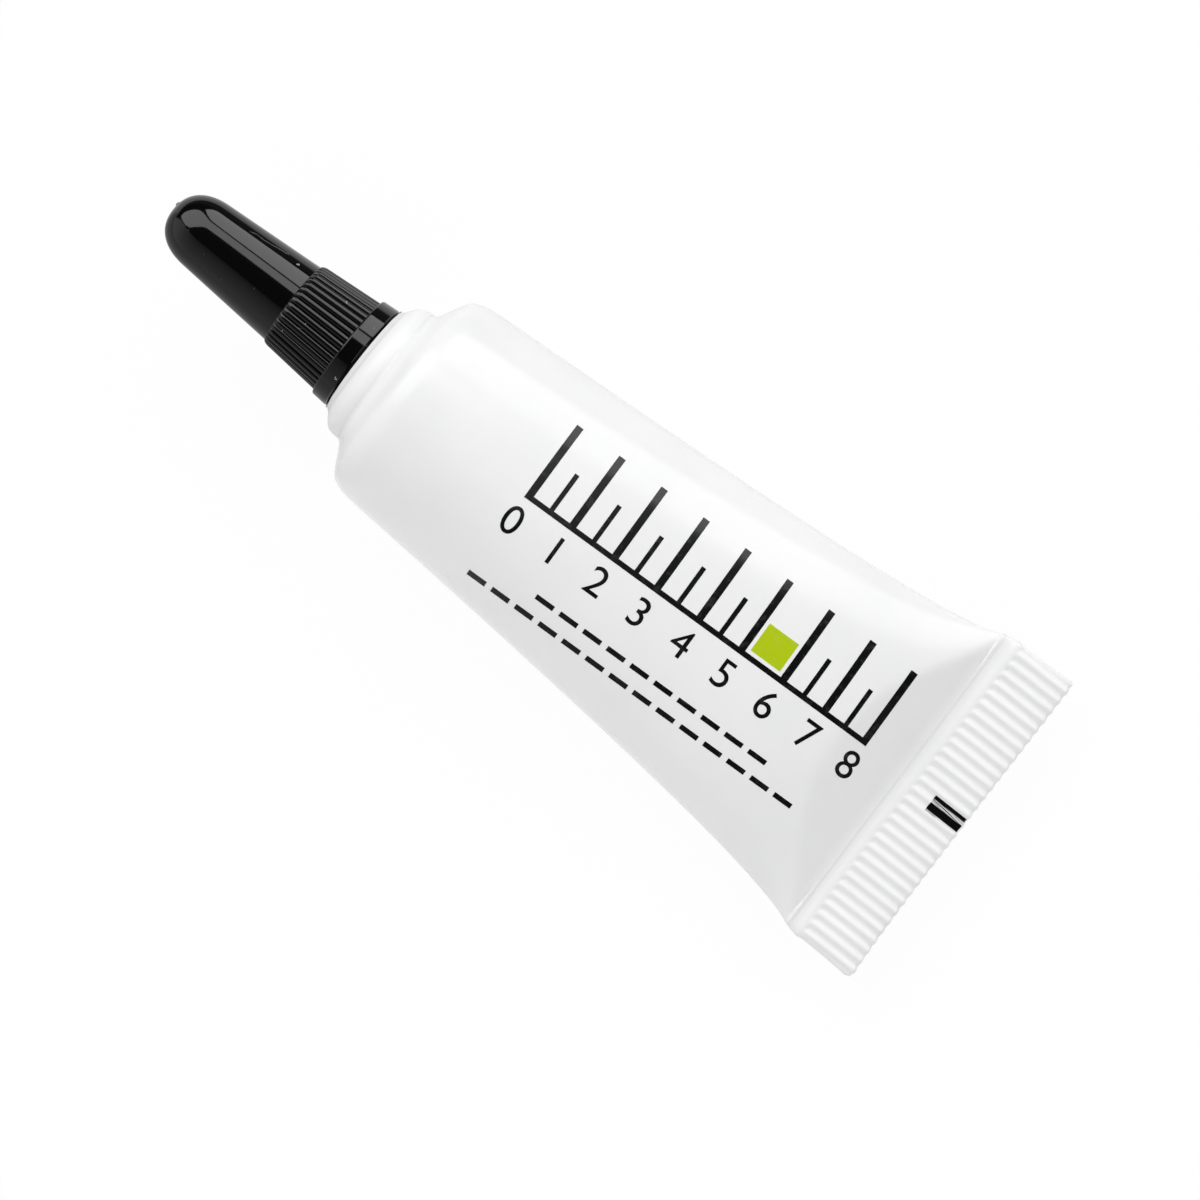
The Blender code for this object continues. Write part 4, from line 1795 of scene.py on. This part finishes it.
@dataclass
class Transfer:
    """A flat layer of ink that is cut to a grid and pressed onto the sleeve."""

    sleeve: bpy.types.Object
    grid: Point = (0.35 * MM, 0.45 * MM)
    film: float = 0.015 * MM
    height: float = 25.0 * MM
    sharp_angle: float = math.radians(60.0)

    def bar(self, left: float, right: float, low: float, high: float) -> bpy.types.Object:
        """Lays a flat bar of ink above the sleeve.

        Args:
            left: Its start along the print.
            right: Its end.
            low: Its lower edge across the print.
            high: Its upper edge.

        Returns:
            The bar.
        """
        Bench.put_down()
        bpy.ops.mesh.primitive_plane_add(size=1.0)
        piece = bpy.context.object
        Bench.edit(piece)
        bpy.ops.transform.resize(value=(right - left, high - low, 1.0), center_override=(0.0, 0.0, 0.0))
        bpy.ops.transform.translate(value=((left + right) / 2, (low + high) / 2, self.height))
        Bench.put_down()
        return piece

    def numeral(self, number: int, x: float, y: float, size: float) -> bpy.types.Object:
        """Lays a plain numeral above the sleeve.

        Args:
            number: The number.
            x: The place of its middle along the print.
            y: The place of its foot across the print.
            size: The size of its type.

        Returns:
            The numeral.
        """
        Bench.put_down()
        bpy.ops.object.text_add()
        piece = bpy.context.object
        piece.data.body = str(number)
        piece.data.size = size
        piece.data.align_x = "CENTER"
        bpy.ops.object.convert(target="MESH")
        piece = bpy.context.object
        Bench.edit(piece)
        bpy.ops.mesh.remove_doubles(threshold=MERGE)
        bpy.ops.transform.translate(value=(x, y, self.height))
        Bench.put_down()
        return piece

    def cut(self, piece: bpy.types.Object) -> None:
        """Cuts a flat piece along the grid, so that it can follow a curved surface.

        Args:
            piece: The flat piece.
        """
        for axis, pitch in enumerate(self.grid):
            places = [vertex.co[axis] for vertex in piece.data.vertices]
            low, high = min(places), max(places)
            normal = [0.0, 0.0, 0.0]
            normal[axis] = 1.0
            for step in range(1, math.ceil((high - low) / pitch)):
                place = [0.0, 0.0, self.height]
                place[axis] = low + step * pitch
                Bench.edit(piece)
                bpy.ops.mesh.bisect(plane_co=place, plane_no=normal, threshold=MERGE)
            Bench.put_down()

    def press(self, piece: bpy.types.Object) -> None:
        """Projects a flat piece down onto the sleeve and gives the film its thickness.

        Args:
            piece: The flat piece.
        """
        Bench.apply(
            piece,
            "SHRINKWRAP",
            target=self.sleeve,
            wrap_method="PROJECT",
            wrap_mode="ABOVE_SURFACE",
            use_project_z=True,
            use_negative_direction=True,
            use_positive_direction=False,
            offset=self.film,
        )
        Bench.apply(piece, "SOLIDIFY", thickness=2 * self.film, offset=-1.0)
        Bench.smooth(piece, self.sharp_angle)


@dataclass
class ScalePrint:
    """A plain printed scale: ticks on a rule, numerals, a lime block and two broken rules."""

    tube: TubeFrame
    origin: Point = (17.4 * MM, -0.3 * MM)
    slant: float = math.radians(2.2)
    marks: int = 9
    pitch: float = 4.1 * MM
    stroke: float = 0.62 * MM
    long_tick: float = 6.6 * MM
    short_tick: float = 3.4 * MM
    short_stroke: float = 0.4 * MM
    rule: float = 0.45 * MM
    numeral_size: float = 3.4 * MM
    numeral_drop: float = 3.6 * MM
    lime_mark: int = 5
    lime_height: float = 2.6 * MM
    dash: float = 1.7 * MM
    dash_gap: float = 0.6 * MM
    dash_stroke: float = 0.42 * MM
    dash_rows: tuple[Triple, ...] = (
        (-6.4 * MM, 5.0 * MM, 28.0 * MM),
        (-8.0 * MM, -0.5 * MM, 33.3 * MM),
    )

    def black_parts(self, ink: Transfer) -> list[bpy.types.Object]:
        """Lays the black bars and numerals, in the print's own straight frame.

        Args:
            ink: The layer of ink.

        Returns:
            The flat parts.
        """
        parts = [ink.bar(-self.stroke / 2, self.pitch * (self.marks - 1) + self.stroke / 2, -self.rule, 0.0)]
        for mark in range(self.marks):
            x = mark * self.pitch
            parts.append(ink.bar(x - self.stroke / 2, x + self.stroke / 2, 0.0, self.long_tick))
            parts.append(ink.numeral(mark, x, -self.numeral_drop, self.numeral_size))
            if mark + 1 < self.marks and mark != self.lime_mark:
                middle = x + self.pitch / 2
                half = self.short_stroke / 2
                parts.append(ink.bar(middle - half, middle + half, 0.0, self.short_tick))
        step = self.dash + self.dash_gap
        for y, start, end in self.dash_rows:
            for index in range(int((end - start) / step)):
                left = start + index * step
                parts.append(ink.bar(left, left + self.dash, y, y + self.dash_stroke))
        return parts

    def lime_parts(self, ink: Transfer) -> list[bpy.types.Object]:
        """Lays the lime block between two ticks, in the print's own straight frame.

        Args:
            ink: The layer of ink.

        Returns:
            The flat block.
        """
        left = self.lime_mark * self.pitch + self.stroke
        right = left + self.pitch - 2 * self.stroke
        low = self.stroke / 2
        return [ink.bar(left, right, low, low + self.lime_height)]

    def set_down(self, piece: bpy.types.Object) -> None:
        """Slants the flat print and moves it over its place on the sleeve.

        Args:
            piece: The flat print.
        """
        Bench.edit(piece)
        bpy.ops.transform.rotate(value=-self.slant, orient_axis="Z", center_override=(0.0, 0.0, 0.0))
        bpy.ops.transform.translate(value=(*self.origin, 0.0))
        Bench.put_down()

    def build(self, sleeve: bpy.types.Object) -> list[bpy.types.Object]:
        """Models the print in the tube's frame.

        Args:
            sleeve: The sleeve, before it is laid down.

        Returns:
            The black print and the lime one.
        """
        ink = Transfer(sleeve)
        made = []
        for name, parts in (("scale_print", self.black_parts(ink)), ("lime_block", self.lime_parts(ink))):
            piece = Bench.join(parts, name)
            ink.cut(piece)
            self.set_down(piece)
            ink.press(piece)
            made.append(piece)
        return made

    def dress(self, pieces: list[bpy.types.Object]) -> None:
        """Gives the print its inks, lays it down and puts it on the tube.

        Args:
            pieces: The black print and the lime one.
        """
        for piece, colour in zip(pieces, (InkColour.BLACK, InkColour.LIME)):
            InkFinish(self.tube, colour).put_on(piece)
            self.tube.lay(piece)
            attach(piece, "tube")


@dataclass
class EyeMark:
    """The black registration mark on the crimp, scuffed along its middle."""

    tube: TubeFrame
    left: float = 57.58 * MM
    right: float = 60.7 * MM
    low: float = -0.33 * MM
    high: float = 0.985 * MM
    smear_drop: float = 0.17 * MM
    smear_start: float = 0.8 * MM
    stripe: Point = (0.3 * MM, 0.67 * MM)
    grid: Point = (0.12 * MM, 0.06 * MM)

    def build(self, sleeve: bpy.types.Object) -> bpy.types.Object:
        """Models the mark in the tube's frame.

        Args:
            sleeve: The sleeve, before it is laid down.

        Returns:
            The mark.
        """
        ink = Transfer(sleeve, self.grid)
        piece = ink.bar(self.left, self.right, self.low - self.smear_drop, self.high)
        piece.name = piece.data.name = "eye_mark"
        ink.cut(piece)
        ink.press(piece)
        return piece

    def dress(self, piece: bpy.types.Object) -> None:
        """Gives the mark its ink, lays it down and puts it on the tube.

        Args:
            piece: The mark.
        """
        low, high = self.stripe
        smear_x = self.left + self.smear_start
        ScuffedInkFinish(self.tube, (low + high) / 2, (high - low) / 2, self.low, smear_x).put_on(piece)
        self.tube.lay(piece)
        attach(piece, "tube")


@dataclass(frozen=True)
class Panel:
    """A flat studio panel that faces the tube's axis and lights it softly, without showing in its gloss.

    Its tilt is counted in degrees from straight up, towards +Y at a heading of 0 and towards the cap at 90.
    """

    name: str
    tilt: float
    heading: float
    distance: float
    size: Point
    radiance: float

    def add(self, tube: TubeFrame) -> None:
        """Adds the panel as an area lamp.

        Args:
            tube: The frame that its angles are counted in.
        """
        lamp = bpy.data.lights.new(self.name, "AREA")
        lamp.shape = "RECTANGLE"
        lamp.size, lamp.size_y = self.size
        lamp.energy = self.radiance * math.pi * lamp.size * lamp.size_y
        panel = bpy.data.objects.new(self.name, lamp)
        bpy.context.scene.collection.objects.link(panel)
        tilt, heading = math.radians(self.tilt), math.radians(self.heading)
        flat = math.sin(tilt)
        away = Vector((-flat * math.sin(heading), flat * math.cos(heading), math.cos(tilt)))
        along = (Vector((1.0, 0.0, 0.0)) - away * away.x).normalized()
        turn = Matrix((along, away.cross(along), away)).transposed()
        panel.matrix_world = tube.matrix @ Matrix.Translation(away * self.distance) @ turn.to_4x4()
        panel.visible_camera = False
        panel.visible_glossy = False


class Side(Enum):
    """Where a card stands: the way to it from the tube, and its own upright axis."""

    ABOVE = (Vector((0.0, 0.0, 1.0)), "Y")
    BACK = (Vector((0.0, 1.0, 0.0)), "Z")
    FRONT = (Vector((0.0, -1.0, 0.0)), "Z")


@dataclass(frozen=True)
class Card:
    """A lit card that shows in gloss and lights nothing.

    It stands one metre from the tube's axis. Its outline runs along the tube and along its own upright axis,
    in metres. It gets brighter by its fade for each metre along these two, up to the most that it gives.
    """

    name: str
    side: Side
    outline: tuple[Point, ...]
    radiance: float
    fade: Point = (0.0, 0.0)
    most: float = 10.0

    def material(self, tube: TubeFrame) -> bpy.types.Material:
        """Makes the card's glow.

        Args:
            tube: The frame that its outline is drawn in.

        Returns:
            The material.
        """
        made = bpy.data.materials.new(self.name)
        graph = Graph(made)
        spot = graph.along_tube(tube)
        along, upright = graph.axis(spot, "X"), graph.axis(spot, self.side.value[1])
        level = along * self.fade[0] + upright * self.fade[1] + self.radiance
        graph.out(graph.glow(level.greater(0.0).lesser(self.most)))
        return made

    def add(self, tube: TubeFrame) -> None:
        """Adds the card, which only gloss can see.

        Args:
            tube: The frame that its outline is drawn in.
        """
        card = Bench.trace(self.name, list(self.outline))
        bpy.ops.mesh.select_all(action="SELECT")
        bpy.ops.mesh.edge_face_add()
        Bench.put_down()
        away, axis = self.side.value
        upright = Vector((0.0, float(axis == "Y"), float(axis == "Z")))
        for vertex in card.data.vertices:
            vertex.co = away + upright * vertex.co.y + Vector((vertex.co.x, 0.0, 0.0))
        cover(card, self.material(tube))
        tube.lay(card)
        card.visible_camera = False
        card.visible_diffuse = False
        card.visible_shadow = False


@dataclass
class Studio:
    """A white table, soft light from all sides, and softboxes that show in the gloss."""

    tube: TubeFrame
    lens: float = 124.7
    sensor: float = 36.0
    clip_start: float = 0.01
    view_height: float = 333.3 * MM
    view_centre: Point = (26.76 * MM, -3.41 * MM)
    view_right: Point = (0.785119, 0.619345)
    table_size: float = 6.0
    table_drop: float = 0.02 * MM
    table_white: float = 0.95
    camera_glow: float = 0.95
    # The table's gloss levels below are painted shade, which the cap and the sleeve reflect.
    sleeve_x: Point = (-3.0 * MM, 3.0 * MM)
    table_gloss: float = 1.0
    beside_gloss: float = 0.85
    beside_y: Point = (6.0 * MM, 9.0 * MM)
    front_gloss: float = 0.46
    back_gloss: float = 0.8
    cap_y: Point = (-6.0 * MM, 2.0 * MM)
    far_gloss: float = 0.08
    far_y: Point = (26.0 * MM, 38.0 * MM)
    room_glow: float = 0.03
    panels: tuple[Panel, ...] = (
        Panel("ceiling", tilt=0.0, heading=0.0, distance=1.2, size=(4.0, 4.0), radiance=0.5),
        Panel("key", tilt=48.0, heading=60.0, distance=1.3, size=(1.4, 1.4), radiance=1.14),
        Panel("cap_wall", tilt=72.0, heading=90.0, distance=1.5, size=(2.4, 2.4), radiance=0.55),
        Panel("back_wall", tilt=72.0, heading=0.0, distance=1.5, size=(3.0, 2.4), radiance=0.7),
        Panel("front_wall", tilt=72.0, heading=180.0, distance=1.5, size=(3.0, 2.4), radiance=0.53),
        Panel("crimp_wall", tilt=72.0, heading=-90.0, distance=1.5, size=(2.4, 2.4), radiance=0.49),
    )
    cards: tuple[Card, ...] = (
        Card(
            "high_card",
            Side.ABOVE,
            (
                (0.12, 0.39),
                (-0.28, 0.385),
                (-0.45, 0.1),
                (-0.77, -0.27),
                (-1.16, -0.38),
                (-3.8, -0.21),
                (-4.7, 0.09),
                (-4.35, 0.92),
                (-2.5, 1.6),
                (-1.7, 1.78),
                (-1.0, 1.4),
                (-0.38, 0.86),
                (0.12, 0.83),
            ),
            radiance=2.5,
        ),
        Card(
            "mid_card",
            Side.ABOVE,
            ((0.14, -0.35), (0.14, 0.38), (-0.1, 0.38), (-0.1, -0.35)),
            radiance=1.3,
        ),
        Card(
            "low_card",
            Side.BACK,
            (
                (-0.4, 1.015),
                (-0.57, 0.61),
                (-0.62, 0.34),
                (-0.41, 0.15),
                (-0.28, 0.065),
                (0.5, 0.065),
                (0.5, 1.015),
            ),
            radiance=3.0,
        ),
        Card(
            "fill_card",
            Side.FRONT,
            ((-6.0, -0.6), (0.5, -0.02), (0.5, 1.8), (-0.6, 1.8), (-3.0, 2.2), (-6.0, 2.2)),
            radiance=0.45,
            fade=(-0.3, -0.27),
            most=0.75,
        ),
    )

    def gloss_level(self, graph: Graph) -> Wire:
        """Paints shade into the table as gloss shows it: darker before the cap, far behind it and a little
        beside the sleeve.

        Args:
            graph: The table's node tree.

        Returns:
            How bright gloss shows the table.
        """
        spot = graph.along_tube(self.tube)
        x, y = graph.axis(spot, "X"), graph.axis(spot, "Y")
        near_cap = y.ramp(*self.cap_y, self.front_gloss, self.back_gloss)
        near_cap = near_cap - y.ramp(*self.far_y) * (self.back_gloss - self.far_gloss)
        near_sleeve = y.ramp(*self.beside_y, self.table_gloss, self.beside_gloss)
        return near_cap + (near_sleeve - near_cap) * x.ramp(*self.sleeve_x)

    def add_table(self) -> None:
        """Adds the white table, which keeps the tube's shadow and shows painted shade in gloss."""
        Bench.put_down()
        bpy.ops.mesh.primitive_plane_add(size=self.table_size, location=(0.0, 0.0, -self.table_drop))
        table = bpy.context.object
        table.name = "table"
        made = bpy.data.materials.new("white_table")
        graph = Graph(made)
        in_gloss = graph.node("ShaderNodeLightPath", output="Is Glossy Ray")
        seen = graph.node("ShaderNodeLightPath", output="Is Camera Ray") * self.camera_glow
        seen = seen + graph.node("ShaderNodeLightPath", output="Is Transmission Ray") * self.camera_glow
        white = (self.table_white, self.table_white, self.table_white, 1.0)
        lit = graph.node("ShaderNodeBsdfDiffuse", sockets={"Color": white})
        # Gloss sees the table's glow at the painted-shade level, not lit by the lamps.
        glow = graph.glow(graph.mixed(in_gloss, (1.0, 1.0, 1.0), self.gloss_level(graph)))
        graph.out(graph.node("ShaderNodeMixShader", sockets={0: seen + in_gloss, 1: lit, 2: glow}))
        cover(table, made)

    def add_world(self) -> None:
        """Adds a dim room round the studio's panels."""
        world = bpy.data.worlds.new("room")
        bpy.context.scene.world = world
        graph = Graph(world)
        sockets = {"Color": (1.0, 1.0, 1.0, 1.0), "Strength": self.room_glow}
        room = graph.node("ShaderNodeBackground", sockets=sockets)
        graph.out(room, "ShaderNodeOutputWorld")

    def add_camera(self) -> None:
        """Adds the camera, which looks straight down on the tube's axis."""
        lens = bpy.data.cameras.new("photo_view")
        lens.lens = self.lens
        lens.sensor_width = self.sensor
        lens.clip_start = self.clip_start
        camera = bpy.data.objects.new("photo_view", lens)
        bpy.context.scene.collection.objects.link(camera)
        right = Vector((*self.view_right, 0.0))
        back = Vector((0.0, 0.0, 1.0))
        turn = Matrix((right, back.cross(right), back)).transposed()
        spot = Matrix.Translation((*self.view_centre, self.view_height))
        camera.matrix_world = self.tube.matrix @ spot @ turn.to_4x4()
        bpy.context.scene.camera = camera

    def build(self) -> None:
        """Sets up the table, the light, the room and the camera."""
        self.add_table()
        for light in (*self.panels, *self.cards):
            light.add(self.tube)
        self.add_world()
        self.add_camera()
        bpy.context.scene.view_settings.view_transform = "Standard"


def main() -> None:
    """Builds the tube's pieces, dresses them and sets up the studio."""
    logging.basicConfig(level=logging.INFO, format="%(message)s")
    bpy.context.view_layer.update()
    hinge = next(joint for joint in frame["joints"] if joint["name"] == "cap_turn")
    tube = TubeFrame.from_joint(hinge)
    Studio(tube).build()

    sleeve, scale, mark = Sleeve(tube), ScalePrint(tube), EyeMark(tube)
    skin = sleeve.build()
    print_pieces = scale.build(skin)
    mark_piece = mark.build(skin)
    pieces = [skin, *print_pieces, mark_piece]
    for assembly in (Head(tube), Cap(tube), Seal(tube), Grease(tube)):
        piece = assembly.build()
        assembly.dress(piece)
        pieces.append(piece)
    sleeve.dress(skin)
    scale.dress(print_pieces)
    mark.dress(mark_piece)
    for piece in pieces:
        LOG.info("%s: %d faces", piece.name, len(piece.data.polygons))


if __name__ == "__main__":
    main()
